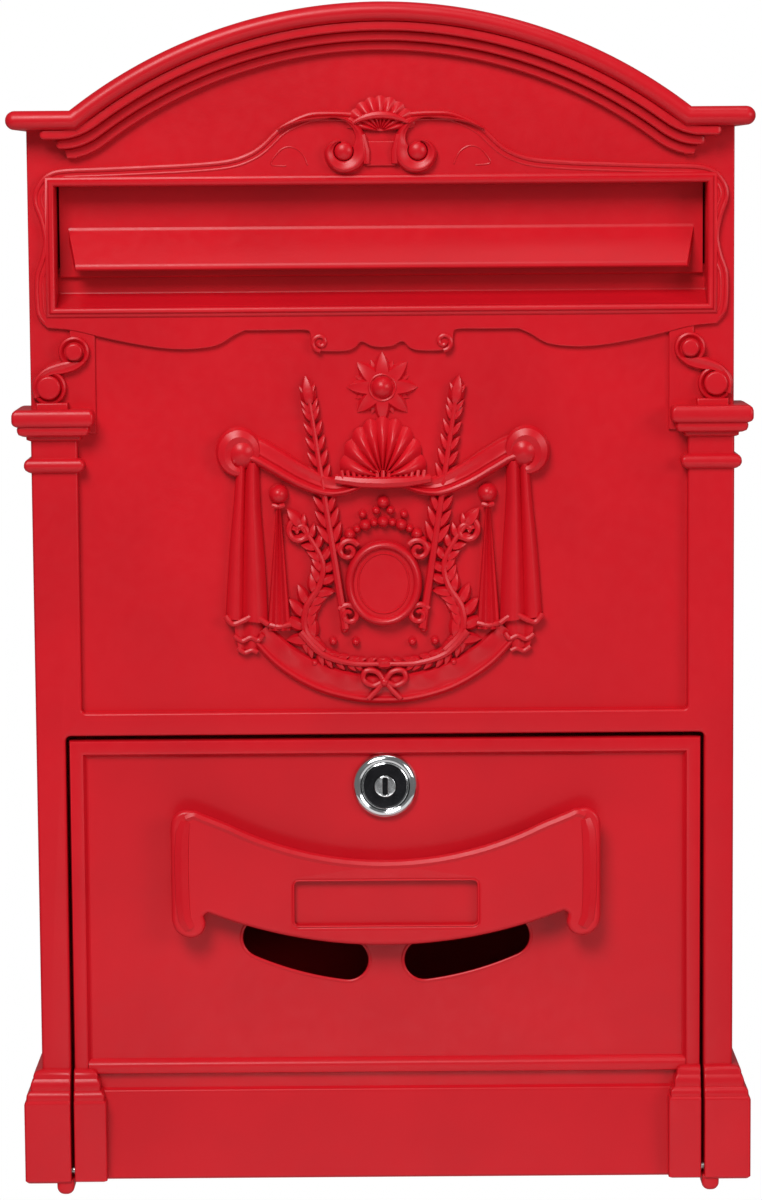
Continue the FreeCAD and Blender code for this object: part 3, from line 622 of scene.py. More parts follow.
# Profiles of the capitals and feet, as (how far they stand proud, height).
CAPITAL = [
    (-0.2, 252.4), (-0.2, 254.2), (1.0, 254.7), (1.9, 255.4), (2.4, 256.4), (2.45, 257.2),
    (2.3, 258.1), (1.8, 258.9), (0.9, 259.4), (-0.2, 259.8), (-0.2, 265.6), (0.7, 265.8),
    (1.4, 266.2), (1.5, 267.2), (2.6, 267.4), (3.9, 268.0), (4.4, 269.0), (4.5, 270.0),
    (4.3, 270.7), (4.9, 270.9), (5.7, 271.4), (6.15, 272.3), (6.2, 273.6), (6.15, 275.0),
    (5.8, 276.0), (5.2, 276.6), (4.3, 276.9)]
FOOT = [
    (5.2, 0), (6.1, 0.9), (6.1, 28.8), (5.9, 29.5), (5.4, 29.9), (5.3, 30.2), (5.4, 30.9),
    (5.3, 31.9), (4.9, 32.7), (4.3, 33.2), (3.9, 33.4), (3.95, 34.3), (3.85, 35.8), (3.5, 36.8),
    (3.1, 37.4), (2.95, 37.7), (3.0, 38.5), (2.7, 39.5), (1.9, 40.2), (0.8, 40.5), (-0.2, 40.6)]


def pier(name, plan, profile):
    """Rings of an open plan over (proud, height) pairs; plan gives its corners for a proud."""
    return shaped(name, [[(x, d, h) for x, d in plan(proud)] for proud, h in profile], closed=True)


def softened(corners):
    """A plan with its outer corners eased."""
    return rounded(corners, 3)


def make_pilasters(s):
    inner, outer, opening = s.shaft_inner, s.half_width, s.door_half + 1.2
    top, low, rail, return_depth = s.capital_top - 5, 20, 169.0, s.back - 16.5
    corners = [(opening, low), (outer, low), (outer, top), (inner, top), (inner, rail, 1.4)]
    head = [(-opening, DOOR_HEAD, 1.8), (opening, DOOR_HEAD, 1.8)]
    outline = rounded(corners + facing(-1, corners[::-1]) + head, 5)
    finish(board("front_frame", [outline], s.back, s.face, 1.0))

    def capital_plan(proud):
        return softened([(inner - proud, s.back + 1), (inner - proud, s.face + proud, 1.1),
                         (outer + proud, s.face + proud, 1.1), (outer + proud, return_depth, 0.6),
                         (outer - 1, return_depth), (outer - 1, s.back + 1)])

    def foot_plan(proud):
        return softened([(opening, s.back), (opening, s.face + proud, 0.6),
                         (outer + proud, s.face + proud, 0.8), (outer + proud, 2, 0.6),
                         (outer - 1, 2), (outer - 1, s.back)])
    parts = [pier("capital", capital_plan, CAPITAL), pier("foot", foot_plan, FOOT)]
    finish_pair(joined("right_pilaster", parts), "left_pilaster")


def make_side_walls(s):
    inside, outside, lug_heights = s.half_width - s.wall, s.half_width, (69.5, 154.5, 232.5)
    top, into = s.eaves, inside + 1
    parts = [block("wall", inside, outside, 2, s.back + 0.1, 0, top, 0.6),
             block("flange", inside - 9, into, 2, 2 + s.wall, 10, top - 10, 0.4),
             block("tab", inside - 12, into, 10, s.back - 10, top - s.wall, top, 0.4)]
    for height in lug_heights:
        parts.append(block("lug", inside - 7, into, s.back - s.wall, s.back, height - 5,
                           height + 5, 0.6))
    finish_pair(joined("right_side_casting", parts), "left_side_casting",
                ["right_side_wall"], ["left_side_wall"])


def make_throat(s):
    back, sill, cheek_top = s.panel - 12, s.slot_low, 363.2
    parts = [block("cheek", side * s.slot_half, side * (s.slot_half + s.wall), back, s.back + 1,
                   sill - 3, cheek_top, 0.4) for side in (-1, 1)]
    foot, top = sill + 4.4, sill + 13.7
    section = [(s.panel - 0.1, sill), (s.panel - 3, sill + 1.1), (68.9, foot - 0.5),
               (68.1, foot + 0.1), (67.85, foot + 0.9), (67.85, top - 0.5), (67.5, top - 0.1),
               (66.9, top), (66.4, top - 0.1), (back, top - 0.6), (back, sill - 2.4),
               (back + 0.6, sill - 3), (s.back, sill - 3), (s.back, sill - 0.5),
               (s.panel - 0.1, sill - 0.5)]
    parts.append(bar("sill", -s.slot_half - 0.2, s.slot_half + 0.2, section))
    parts.append(block("keeper", -60, 60, 60, s.back + 0.5, DOOR_HEAD, DOOR_HEAD + s.wall, 0.5))
    finish(joined("slot_throat", parts))
    near, far, low, high, radius = 112.3, 118.5, -4.3, 1.4, 2.7
    nubs = []
    for side in (-1, 1):
        a, b = sorted((side * near, side * far))
        profile = rounded([(a, low, radius), (b, low, radius), (b, high), (a, high)])
        nubs.append(board("nub", [profile], 77.5, 86.5, 1.2))
    finish(joined("hinge_nubs", nubs))


# ---------------------------------------------------------------- surround, crest and consoles

def swan_neck():
    """Counter-clockwise outline of the board round the letter opening."""
    top = smooth([(10.4, 379.6), (18, 379.9), (25.6, 379.3), (34.6, 375.1), (41.5, 368.8),
                  (46.7, 365.6), (53.7, 363.5), (66, 362.4), (79.6, 361.8), (96, 361.2),
                  (110.8, 360.7), (116.6, 359.0), (119.6, 355.9), (121.3, 352.4), (121.4, 348.4),
                  (119.4, 342.6), (118.2, 335.6), (119.4, 329.0), (121.4, 322.8), (121.4, 312.6),
                  (120.2, 308.4), (117.3, 305.2)], 4)
    apron = smooth([(117.3, 305.2), (108, 304.2), (97, 301.5), (86, 299.2), (76, 297.7),
                    (67, 297.4), (58, 298.6), (52, 302.0), (48, 303.8)], 4)
    middle = smooth([(48, 303.8), (36, 303.8), (26.8, 303.8), (25.2, 302.6), (24.9, 300.0),
                     (23.2, 297.2), (20.0, 296.3), (12.6, 296.4), (9.4, 297.6), (7.2, 299.6),
                     (3.6, 298.0), (0, 297.6)], 4)
    right = top + apron[1:] + middle[1:-1]
    return (right + [(0.0, 297.6)] + facing(-1, right[::-1]))[::-1]


def make_surround(s):
    outline, opening, rims_from = swan_neck(), letter_opening(s), 306.5
    face = s.panel + SURROUND_PROUD
    parts = [board("board", [outline, opening], s.panel - 0.4, face, 0.5)]
    over = [point for point in outline if point[1] > rims_from]
    first = next(i for i, (x, h) in enumerate(over) if h < rims_from + 1.5 and x > 0)
    over = over[first:] + over[:first]
    for aside, width, rise in ((0.9, 1.7, 1.35), (3.0, 0.9, 0.65)):
        line = offset(over, aside, closed=False)
        taper = [min(1, 0.3 + 0.2 * min(i, len(line) - 1 - i)) for i in range(len(line))]
        parts.append(cord("rim", line, face - 0.55 * width + rise * 0.6,
                          [width / 2 * share for share in taper]))
    section = [(0.1, face - 1.6), (0.0, face + 0.5), (-0.35, face + 1.2), (-1.0, face + 1.6),
               (-1.7, face + 1.65), (-2.1, face + 1.3), (-2.3, face + 0.9), (-2.7, face + 0.8),
               (-3.2, face + 0.6), (-3.5, face + 0.2), (-3.6, face - 1.6)]
    parts.append(moulding("bead", opening, section))
    for side in (-1, 1):
        vein = facing(side, [(25.5, 361.4), (27.4, 365.4), (31, 367.6), (34.8, 366.6),
                             (38.2, 361.8), (33, 361.0)])
        parts.append(cord("vein", smooth(vein, 5), face, 0.3))
        curl = spiral(side * 21.6, 299.6, 3.1, 0.8, -90, side * 1.2, 20)
        parts.append(cord("curl", curl, face + 0.2, 0.8))
    finish(joined("letter_surround", parts), "slot_surround")


def volute(side, x, height, face):
    """A ribbon that comes off the swan neck and winds down round a point."""
    first, turn_step, points = -28, 7.6, 50
    wide, tight = [], []
    for i in range(points):
        a = radians(90 + side * (turn_step * i + first))
        outer = (13.6 - 4.9 * min(i / 14, 1) ** 0.7 - 1.9 * max(i - 14, 0) / 25
                 - 2.2 * max(i - 39, 0) / 10)
        inner = 12.6 - 9.2 * min(i / 12, 1) ** 1.3
        wide.append((x + outer * cos(a), height + outer * sin(a)))
        tight.append((x + inner * cos(a), height + inner * sin(a)))
    over = smooth([*facing(side, [(36, 373.9), (31, 376.2), (25, 377.6)]), wide[0]], 6)
    under = smooth([*facing(side, [(35.6, 373.1), (30.8, 375.2), (24.8, 376.5)]), tight[0]], 6)
    section = [(0, 0.3), (0.05, 1.8), (0.14, 2.8), (0.3, 3.3), (0.5, 3.2), (0.72, 2.6),
               (0.88, 2.5), (0.96, 2.2), (1, 0.3)]
    return between("ribbon", over + wide[1:], under + tight[1:], section, face,
                   lambda u, share: min(u * 2.2, 1) * 0.9 - 0.9)


def make_crest(s):
    face = s.panel + SURROUND_PROUD
    parts = []
    for side in (-1, 1):
        x, height = side * 12.9, 366
        parts.append(volute(side, x, height, face))
        parts.append(dome("eye", x, height, face + 1.5, 3.3, 1.8))
        bar_line = [(4.9, face + 1.4, 361.8), (4.9, face + 2.0, 366), (6.4, face + 1.8, 371.6)]
        parts.append(tube("bar", facing(side, bar_line), 1.3))
    parts.append(shell("fan", 372.8, 12.4, 12.4, 6, face, 2.6))
    parts.append(cord("lip", arc(0, 360.5, 18.0, 122, 58, 16), face + 3.4,
                      [0.5 + 0.9 * sin(pi * i / 16) for i in range(17)]))
    parts.append(block("neck", -5.2, 5.2, face - 0.2, face + 1.2, 360.8, 369.6, 0.6))
    finish(joined("crest", parts), "crest_scrolls")


def shell(name, height, wide, tall, start, depth, rise, ribs=9):
    """A scallop shell on the middle line: ribs fan out from a point to a scalloped edge."""
    end, across = 180 - start, ribs * 8
    rows = []
    for i in range(9):
        u = i / 8
        row = []
        for k in range(across + 1):
            t = k / across
            a = radians(start + (end - start) * t)
            wave = abs(sin(pi * ribs * t))
            reach = u * (0.94 + 0.06 * wave)
            lift = rise * sin(pi * (0.16 + 0.78 * u)) * (0.62 + 0.38 * wave)
            row.append((wide * reach * cos(a), depth + (lift if u < 1 else 0.35)
                        - 0.2 * (i == 0), height + tall * reach * sin(a)))
        rows.append(row)
    rows.append([(x, depth - 0.6, h) for x, _, h in rows[-1]])
    return shaped(name, rows)


def knob(name, x, height, depth, radius, rise):
    """A flat-topped button with a rounded edge."""
    edge = 0.9
    section = [(radius, depth)]
    section += [(radius - edge + edge * cos(a), depth + rise - edge + edge * sin(a))
                for a in (pi / 2 * i / 4 for i in range(5))]
    return revolved(name, x, height, section + [(0, depth + rise + 0.15)], 32)


def make_consoles(s):
    d = s.panel
    strip = [(100.6, 268), (123.2, 268), (123.2, 283), (117.5, 290), (109.5, 295), (109.5, 305.5),
             (100.6, 304)]
    parts = [board("strip", [strip], d - 0.4, d + 1.3, 0.6),
             board("plinth", [rectangle(110.2, 121.4, 276, 279.2)], d - 0.4, d + 4.6, 0.7)]
    outer = smooth([(122.6, 280.6), (122.9, 284.6), (121.6, 288.4), (118.6, 291.4), (114.8, 293.2),
                    (111.6, 293.9), (109.4, 293.2)], 5)
    inner = smooth([(119.4, 281.6), (119.6, 284.8), (118.0, 287.4), (115.2, 288.8), (111.4, 289.0),
                    (106.8, 290.4), (103.2, 293.4)], 5)
    section = [(0, 1.2), (0.06, 3.2), (0.16, 4.1), (0.3, 4.3), (0.5, 4.0), (0.7, 3.9), (0.86, 4.0),
               (0.95, 3.2), (1, 1.2)]
    parts.append(between("band", outer, inner, section, d))
    top = d + 3.9
    for x, h, ring, eye in ((107.9, 296.9, 5.5, 3.1), (116.9, 284.4, 6.2, 4.2)):
        rim = [(ring, d), (ring, top - 1.0), (ring - 0.3, top - 0.3), (ring - 0.9, top),
               (ring - 1.5, top - 0.4), (ring - 2.0, top - 1.2), (0, top - 1.3)]
        parts.append(revolved("ring", x, h, rim, 36))
        parts.append(knob("eye", x, h, d + 2.0, eye, 3.6))
    finish_pair(joined("right_scroll", parts), "left_scroll",
                ["right_console"], ["left_console"])


# ---------------------------------------------------------------- relief in the middle panel

def relief(name, rows, depth):
    """A moulded sheet on the panel, from rows of (x, height, lift) points."""
    edged = [[(*row[0][:2], -0.4), *row, (*row[-1][:2], -0.4)] for row in rows]
    first, last = ([(x, h, -0.4) for x, h, _ in row] for row in (edged[0], edged[-1]))
    return shaped(name, [[(x, depth + lift, h) for x, h, lift in row]
                         for row in (first, *edged, last)])


def between(name, low, high, lifts, depth, wave=None):
    """A relief sheet between two lines; lifts gives its (share across, lift) section."""
    rows = []
    for share, lift in lifts:
        row = []
        for i, (a, b) in enumerate(zip(low, high)):
            u = i / (len(low) - 1)
            more = wave(u, share) if wave else 0
            row.append((a[0] + (b[0] - a[0]) * share, a[1] + (b[1] - a[1]) * share, lift + more))
        rows.append(row)
    return relief(name, rows, depth)


def rosette(d):
    """A flower of petals and sepals round a button."""
    x, h, petals, first, turn_step = 0, 283.6, 8, 90, 45
    parts = []
    for angle in (first + turn_step * k for k in range(petals)):
        parts.append(leaf("petal", x, h, angle, 12.6, 3.9, d, 3.4))
        parts.append(leaf("sepal", x, h, angle + turn_step / 2, 10.4, 2.4, d, 1.8))
    parts.append(dome("button", x, h, d + 1.2, 4.0, 3.6))
    ring = arc(x, h, 4.6, 0, 360, 32)[:-1]
    parts.append(moulding("ring", ring, half_round(1.2, d + 1.6, 1.0, 6)))
    return parts


def frond(d, stem, size, half, spread_angle, first, rise, step):
    """A stem with pairs of leaves that get smaller towards its tip."""
    parts = [cord("stem", stem, d + 1.5, [1.5 - 0.7 * i / len(stem) for i in range(len(stem))])]
    run, due = 0.0, first
    total = sum((Vector(b) - Vector(a)).length for a, b in zip(stem, stem[1:]))
    for a, b in zip(stem, stem[1:]):
        way = Vector(b) - Vector(a)
        heading = degrees(atan2(way.y, way.x))
        run += way.length
        if run < due:
            continue
        due += step
        share = 1 - 0.45 * run / total
        for side in (-1, 1):
            parts.append(leaf("leaf", *b, heading + side * spread_angle, size * share,
                              half * share, d + 0.6, rise))
    parts.append(leaf("tip", *stem[-2], heading, size * 0.85, half * 0.95, d + 0.9, rise + 0.6))
    return parts


def drapery(d):
    """The right half of the mantle: swag, knot, curtain and tassel."""
    low = smooth([(0.2, 254.8), (8, 247.8), (19, 245.2), (30, 248.4), (40, 253.8), (47, 257.4),
                  (52.5, 256.4)], 6)
    high = smooth([(0.2, 257.2), (8, 253.4), (17, 252.0), (27, 256.4), (36, 262.2), (44, 266.4),
                   (52.0, 265.6)], 6)
    section = [(0, 1.6), (0.05, 3.4), (0.12, 4.5), (0.2, 4.9), (0.28, 4.6), (0.34, 3.6),
               (0.38, 3.2), (0.46, 3.6), (0.6, 3.2), (0.75, 3.4), (0.88, 3.3), (0.96, 2.6),
               (1, 1.2)]
    parts = [between("swag", low, high, section, d, lambda u, v: 0.5 * sin(9 * u + 3 * v) * v)]
    knot = [(50.2 + 5.4 * cos(a), 260.6 + 6.2 * sin(a))
            for a in (radians(200 - 290 * i / 24) for i in range(25))]
    parts.append(cord("knot", knot, d + 2.6,
                      [1.6 + 1.8 * sin(pi * i / 24) for i in range(25)]))
    parts.append(dome("boss", 49.6, 261.2, d, 6.4, 6.0, 28))
    inner = smooth([(43.4, 257.6), (43.2, 244), (42.2, 228), (41.4, 212), (41.0, 200.6)], 6)
    outer = smooth([(51.6, 257.6), (52.6, 244), (54.2, 228), (55.4, 212), (56.0, 202.4)], 6)
    folds = []
    for i in range(25):
        v = i / 24
        roll = abs(sin(pi * (2.0 * v ** 1.25))) ** 0.7
        folds.append((v, 1.4 + 3.6 * roll * (1 - 0.35 * v)))
    parts.append(between("curtain", inner, outer, folds, d))
    tail_in = smooth([(42.6, 203), (43.0, 197), (45.0, 190.6)], 4)
    tail_out = smooth([(52.8, 203), (52.6, 197), (51.4, 191.6)], 4)
    pleats = [(v / 10, 1.0 + 1.5 * abs(sin(pi * 1.5 * v / 10))) for v in range(11)]
    parts.append(between("tail", tail_in, tail_out, pleats, d))
    for hem, lift, radius in (
            ([(56.0, 203.4), (53.4, 200.6), (49.6, 201.8), (46.6, 203.2), (43.6, 202.2),
              (41.0, 200.2)], 3.2, 1.05),
            ([(53.0, 196.2), (50.2, 194.4), (47.2, 195.6), (44.4, 194.6), (42.8, 196.6)],
             2.4, 0.95),
            ([(51.8, 191.8), (49.4, 190.2), (46.8, 191.0), (44.8, 190.2)], 1.8, 0.9)):
        parts.append(cord("hem", smooth(hem, 5), d + lift, radius))
    left = [(36.2 - 3.4 * i / 12, 243 - 45 * i / 12) for i in range(13)]
    right = [(37.6 + 3.6 * i / 12, 243 - 45 * i / 12) for i in range(13)]
    flutes = [(v / 18, 1.2 + 2.4 * sin(pi * v / 18) ** 0.5
               + 0.55 * cos(pi * 6 * v / 18)) for v in range(19)]
    parts.append(between("tassel", left, right, flutes, d))
    parts.append(dome("knob", 36.8, 246.2, d + 0.8, 3.5, 3.9, 28))
    parts.append(tube("collar", [(34.9, d + 2.2, 242.4), (36.9, d + 3.0, 241.9),
                                 (38.9, d + 2.2, 242.4)], 0.9))
    parts.append(tube("band", [(33.0, d + 2.4, 200.2), (37, d + 3.4, 199.4),
                               (41, d + 2.4, 200.2)], 1.0))
    return parts


def mantle_foot(d):
    """The bowl of cloth under the curtains, with a rolled rim and soft pleats."""
    outer = smooth(both([(0, 171.5), (11, 172.3), (25, 176.4), (38, 184.4), (47.5, 194.5)]), 12)
    inner = smooth(both([(0, 181.6), (9, 182.2), (20.5, 185.4), (32, 192), (41, 200)]), 12)
    section = [(0, 0.8), (0.05, 2.0), (0.13, 2.6), (0.2, 2.4), (0.27, 1.5), (0.36, 1.3),
               (0.5, 1.6), (0.65, 1.9), (0.8, 2.1), (0.92, 2.0), (1, 0.8)]

    def pleats(u, v):
        return 0.55 * sin(pi * 18 * u + 2 * v) * max(v - 0.3, 0) * 1.4
    return [between("foot", outer, inner, section, d, pleats)]


def cartouche(d):
    """A blank oval shield with a rolled rim and small scrolls."""
    centre, half_wide, half_tall, points = 214.6, 12.0, 13.6, 56
    oval = [(half_wide * cos(a), centre + half_tall * sin(a))
            for a in (2 * pi * i / points for i in range(points))]
    parts = [board("shield", [oval], d - 0.4, d + 3.4, 0.6),
             moulding("rim", oval, half_round(3.2, d + 2.2, 3.0)),
             moulding("fillet", offset(oval, 3.0), half_round(0.8, d + 3.1, 0.7, 5))]
    for side in (-1, 1):
        for h, flip in ((226.2, 1), (203.4, -1)):
            curl = spiral(side * 12.4, h, 3.9, 0.9, 90 + flip * side * 60, -flip * side * 1.3, 26)
            line = [(x, d + 2.6 + i / 26, y) for i, (x, y) in enumerate(curl)]
            parts.append(tube("scroll", line, [1.15 - 0.4 * i / 26 for i in range(27)]))
    beads = []
    for i in range(13):
        a = radians(24 + 132 * i / 12)
        big = 2.1 if i % 2 == 0 else 1.5
        beads.append((17.0 * cos(a), 220.6 + 15.6 * sin(a), big, big + 0.9))
    for a in (radians(66 + 48 * i / 3) for i in range(4)):
        beads.append((18 * cos(a), 223.0 + 17.4 * sin(a), 1.5, 2.2))
    for x, h, radius, rise in beads + [(0, 243.2, 2.2, 3.0)]:
        parts.append(dome("bead", x, h, d + 0.8, radius, rise, 16))
    return parts


def bow(d):
    """The tied ribbon at the foot, with a garland and berries on each side."""
    parts = []
    for side in (-1, 1):
        loop = facing(side, [(0, 179.4), (2.6, 183.0), (6.6, 183.4), (7.4, 180.2), (4.0, 178.2),
                             (0, 179.4), (-2.8, 176.4), (-5.8, 173.4)])
        parts.append(cord("loop", smooth(loop, 5), d + 3.0, 0.95))
        garland = facing(side, [(29.5, 197.5), (22, 189.6), (12, 186.2), (2, 185.8)])
        parts += frond(d + 1.0, smooth(garland, 8), 6.6, 1.9, 32, 1.0, 1.5, 3.6)
        for x, h in ((14, 198.2), (10, 193.6), (18, 193.8), (24.6, 186.2)):
            parts.append(dome("berry", side * x, h, d + 0.8, 1.5, 2.2, 14))
    parts.append(dome("tie", 0, 179.4, d + 2.2, 2.0, 2.4, 16))
    return parts


def make_relief(s):
    d = s.panel
    stem = [(13.6 + 12.2 * i / 30, 198.5 + 81.5 * i / 30) for i in range(31)]
    spray = smooth([(21.5, 190.5), (27.6, 197.5), (27.4, 206), (22.8, 213.6), (21.4, 221.6),
                    (25.2, 229.6), (29.2, 235.0)], 8)
    half = [*drapery(d), *frond(d + 0.8, stem, 10.5, 2.3, 30, 30, 2.2, 5.2),
            leaf("finial", 25.4, 277, 81.5, 11, 2.9, d + 1.2, 3.4),
            *frond(d + 0.6, spray, 9.6, 2.7, 46, 5, 2.4, 4.4),
            cord("curl", spiral(29.4, 233.2, 4.4, 0.8, 60, -1.3, 24), d + 2.2,
                 [1.2 - 0.5 * i / 24 for i in range(25)])]
    right = joined("right_half", half)
    left = flipped(right, "left_half")
    parts = [right, left, *rosette(d), *mantle_foot(d), *cartouche(d), *bow(d),
             shell("shell", 252.0, 15.6, 21.5, 4, d + 1.0, 5.6)]
    collar = both([(0, d + 5.4, 250.3), (8, d + 5.0, 250.6), (16.6, d + 3.6, 251.6)])
    parts.append(tube("collar", collar, [1.6, 2.0, 2.1, 2.0, 1.6]))
    for x in range(-14, 15, 2):
        parts.append(tube("flute", [(x * 1.04, d + 4.2, 254.6), (x, d + 4.8, 251.6)], [0.7, 0.8]))
    finish(joined("relief_ornament", parts), "emblem_relief")


# ---------------------------------------------------------------- flap

def make_flap(s):
    rod_depth, rod_height, hem_radius, bore = 71.4, 358.2, 3.2, 2.05
    back, front, low, high = 68.25, 69.75, 322.5, 355.6
    rows = [[(x * s.flap_half, rod_depth + px, rod_height + py)
             for px, py in arc(0, 0, radius, 0, 360, 28)[:-1]]
            for radius, x in ((hem_radius, -1), (hem_radius, 1), (bore, 1), (bore, -1),
                              (hem_radius, -1))]
    hem = shaped("hem", rows, closed=True)
    plate = bar("plate", -s.flap_half, s.flap_half,
                [(back, high), (back, low + 0.4), (back + 0.4, low), (front - 0.4, low),
                 (front, low + 0.4), (front, high)])
    nose = [(front - 0.5, 333.6), (front + 0.2, 334.8), (76.3, 326.0), (77.2, 325.2),
            (78.3, 325.1), (79.0, 325.6), (79.05, 326.5), (78.6, 327.6), (front + 0.5, 338.6),
            (front + 0.12, 339.4), (front - 0.1, 340.4), (front - 0.5, 340.4)]
    root, end, slant, upper_from = front - 0.5, s.flap_half - 3.2, 0.32, 330
    rows = []
    for half, share in ((-1, 0), (-1, 0.9), (-0.994, 1), (0.994, 1), (1, 0.9), (1, 0)):
        rows.append([(half * (end - slant * max(depth - front, 0)),
                      root + (depth - root) * (0.95 + 0.05 * share),
                      height - 0.25 * (1 - share) * (height > upper_from))
                     for depth, height in nose])
    lip = shaped("lip", rows, closed=True)
    finish(joined("flap_casting", [hem, plate, lip]), "letter_flap", body="flap")


# ---------------------------------------------------------------- door

def view_slot(side):
    """Outline of a curved viewing slot with rounded ends."""
    centre, radius, half, inner, outer = 187.1, 109, 7.9, -82.8, -66.2
    near, far = (arc(0, centre, radius, a, a, 1)[0] for a in (inner, outer))
    loop = [*arc(0, centre, radius + half, inner, outer, 12)[:-1],
            *arc(*far, half, outer, outer + 180, 14)[:-1],
            *arc(0, centre, radius - half, outer, inner, 12)[:-1],
            *arc(*near, half, inner + 180, inner + 360, 14)[:-1]]
    return loop if side > 0 else facing(-1, loop[::-1])


def make_door(s):
    half, top, low, stile_low = s.door_half, s.door_top, 0.4, 38
    face, plate, back = s.face, s.face - 2.5, s.face - 5.5
    slots = [view_slot(side) for side in (-1, 1)]
    bore = arc(0, s.lock_height, 9.6, 0, 360, 40)[:-1]
    outlines = [rectangle(-half, half, low, top, 0.8), *slots, bore]
    parts = [board("plate", outlines, back, plate, 0.4)]
    parts += [moulding("lip", slot, half_round(1.4, plate - 0.35, 0.6, 6)) for slot in slots]
    stile = [(0.05, plate - 1), (0.05, face - 0.8), (0.35, face - 0.2), (0.9, face), (4.0, face),
             (4.9, face - 0.3), (5.3, face - 0.9), (5.6, plate + 0.7), (6.2, plate + 0.2),
             (7.0, plate - 0.3), (7.0, plate - 1)]
    path = [(half, stile_low), (half, top), (-half, top), (-half, stile_low)]
    parts.append(moulding("stiles", path, stile, closed=False))
    rail = [(back + 1, 43.9), (plate - 0.2, 43.9), (plate + 0.5, 43.5), (face - 0.8, 42.8),
            (face - 0.2, 42.1), (face, 41.3), (face, 39.5), (face - 0.3, 38.7), (face - 1.0, 38.3),
            (plate - 0.5, 38.0), (plate - 0.9, 37.4), (plate - 0.9, 33.9), (plate + 0.2, 32.9),
            (face - 0.8, 32.3), (face - 0.4, 31.5), (face + 1.7, 1.2), (face + 1.1, low),
            (back + 1, low)]
    parts.append(bar("plinth", -half + 5.2, half - 5.2, rail))

    def foot_plan(proud):
        inner = half - 5.5
        return softened([(inner - proud, plate - 1), (inner - proud, face + proud, 0.6),
                         (half, face + proud, 0.6), (half, plate - 1)])
    right = pier("foot", foot_plan, [(proud, max(h, low)) for proud, h in FOOT])
    parts += [right, flipped(right, "foot")]
    finish(joined("door_front", parts), "door_casting", body="door")


def handle_outline():
    """Counter-clockwise outline of the pull handle."""
    upper = arc(0, 115.8 + 122.5, 122.5, -90 + 27.2, -90, 20)
    rise = [(76, 128.2), (75.4, 131.0), (73.6, 133.2), (71.0, 134.2), (68.2, 134.0)]
    shoulder = smooth([(68.2, 134.0), (64.6, 132.8), upper[0]], 3)
    low_arc = arc(0, 85.3 + 171, 171, -90, -90 + 21.6, 20)
    lobe = smooth([low_arc[-1], (64.6, 96.2), (64.0, 93.2), (65.2, 90.2), (67.4, 88.7),
                   (70.0, 88.4), (72.8, 89.4), (75.0, 91.6), (76, 94.8)], 3)
    right = low_arc + lobe[1:] + smooth(rise, 3)[:-1] + shoulder + upper[1:]
    return [(x, y + 0.9) for x, y in right + facing(-1, right[-2:0:-1])]


def make_handle(s):
    plate = s.face - 2.5
    back, front = plate + 7, plate + 10
    card = rectangle(-32.4, 32.4, 93.4, 109.4, 1.6)
    card_floor = rectangle(-33.5, 33.5, 92.2, 110.6)
    parts = [board("grip", [handle_outline(), card], back, front, 1.5, 5),
             board("card_floor", [card_floor], back - 0.4, back + 0.4, 0.2),
             moulding("card_edge", offset(card, -0.3), half_round(0.7, front - 0.35, 0.35, 6))]
    crown = smooth([(70.4, 132.2), (67.9, 133.2), (65.0, 132.0),
                    *arc(0, 239.2, 124.2, -63.4, -90, 18)], 3)
    crown += facing(-1, crown[-2::-1])
    parts.append(cord("crown", crown, front - 1.25, 1.75))
    roll = [(69.6, 92.6), (71.4, 96), (72.0, 102), (72.2, 110), (72.2, 120), (71.8, 127),
            (70.6, 131.2)]
    for side in (-1, 1):
        parts.append(cord("roll", facing(side, roll), front - 1.9,
                          [2.7, 3.1, 3.25, 3.3, 3.3, 3.2, 2.6]))
        parts.append(block("foot", side * 62, side * 74, plate - 0.1, back + 0.6, 98, 128, 1.2))
    finish(joined("handle_casting", parts), "pull_handle", body="door")


def make_lock(s):
    x, h, plate, ring = 0, s.lock_height, s.face - 2.5, s.bezel
    barrel, bore, cap_radius, hub_radius, core_back = 9.4, 7.1, 7.65, 4.0, 59.6
    section = [(ring - 0.4, plate), (ring, plate + 0.6), (ring - 0.1, plate + 1.3),
               (ring - 0.6, plate + 2.1), (ring - 1.4, plate + 2.7), (ring - 2.2, plate + 2.85),
               (ring - 2.9, plate + 2.5), (ring - 3.1, plate + 1.9), (8.4, plate + 1.3),
               (8.4, plate + 2.1), (8.05, plate + 2.3), (7.85, plate + 2.0), (7.85, plate + 0.8),
               (bore, plate + 0.8), (bore, 62), (barrel, 62), (barrel + 0.05, plate)]
    rim = revolved("lock_rim", x, h, section + section[:1], 64)
    finish(rim, "lock_housing", body="door", slot=CHROME)
    outer, hub, core_face = (arc(x, h, radius, 0, 360, steps)[:-1] for radius, steps in
                             ((cap_radius, 48), (hub_radius, 32), (hub_radius - 0.15, 32)))
    cap = board("lock_cap", [outer, hub], plate + 1.3, plate + 2.35, 0.3)
    floor = [(4.3, plate + 1.25), (4.3, plate + 1.45), (0, plate + 1.45)]
    well = revolved("well", x, h, floor, 32)
    notches = [board("notch", [rectangle(-1.1, 1.1, h + d - 0.7, h + d + 0.7, 0.3)], plate + 1.5,
                     plate + 2.45, 0.15) for d in (-5.2, 5.2)]
    finish(joined("lock_face_cap", [cap, well, *notches]), "lock_face", body="lock", slot=BLACK)
    keyway = rectangle(-0.85, 0.85, h - 3.1, h + 3.1, 0.5)
    centre = board("hub", [core_face, keyway], plate + 1.5, plate + 2.6, 0.25)
    core = revolved("core", x, h, [(0, core_back), (hub_radius, core_back), (hub_radius, 62),
                                   (6.9, 62.2), (6.9, plate + 1.2), (0, plate + 1.2)], 40)
    finish(joined("lock_core", [core, centre]), "lock_plug", body="lock", slot=CHROME)


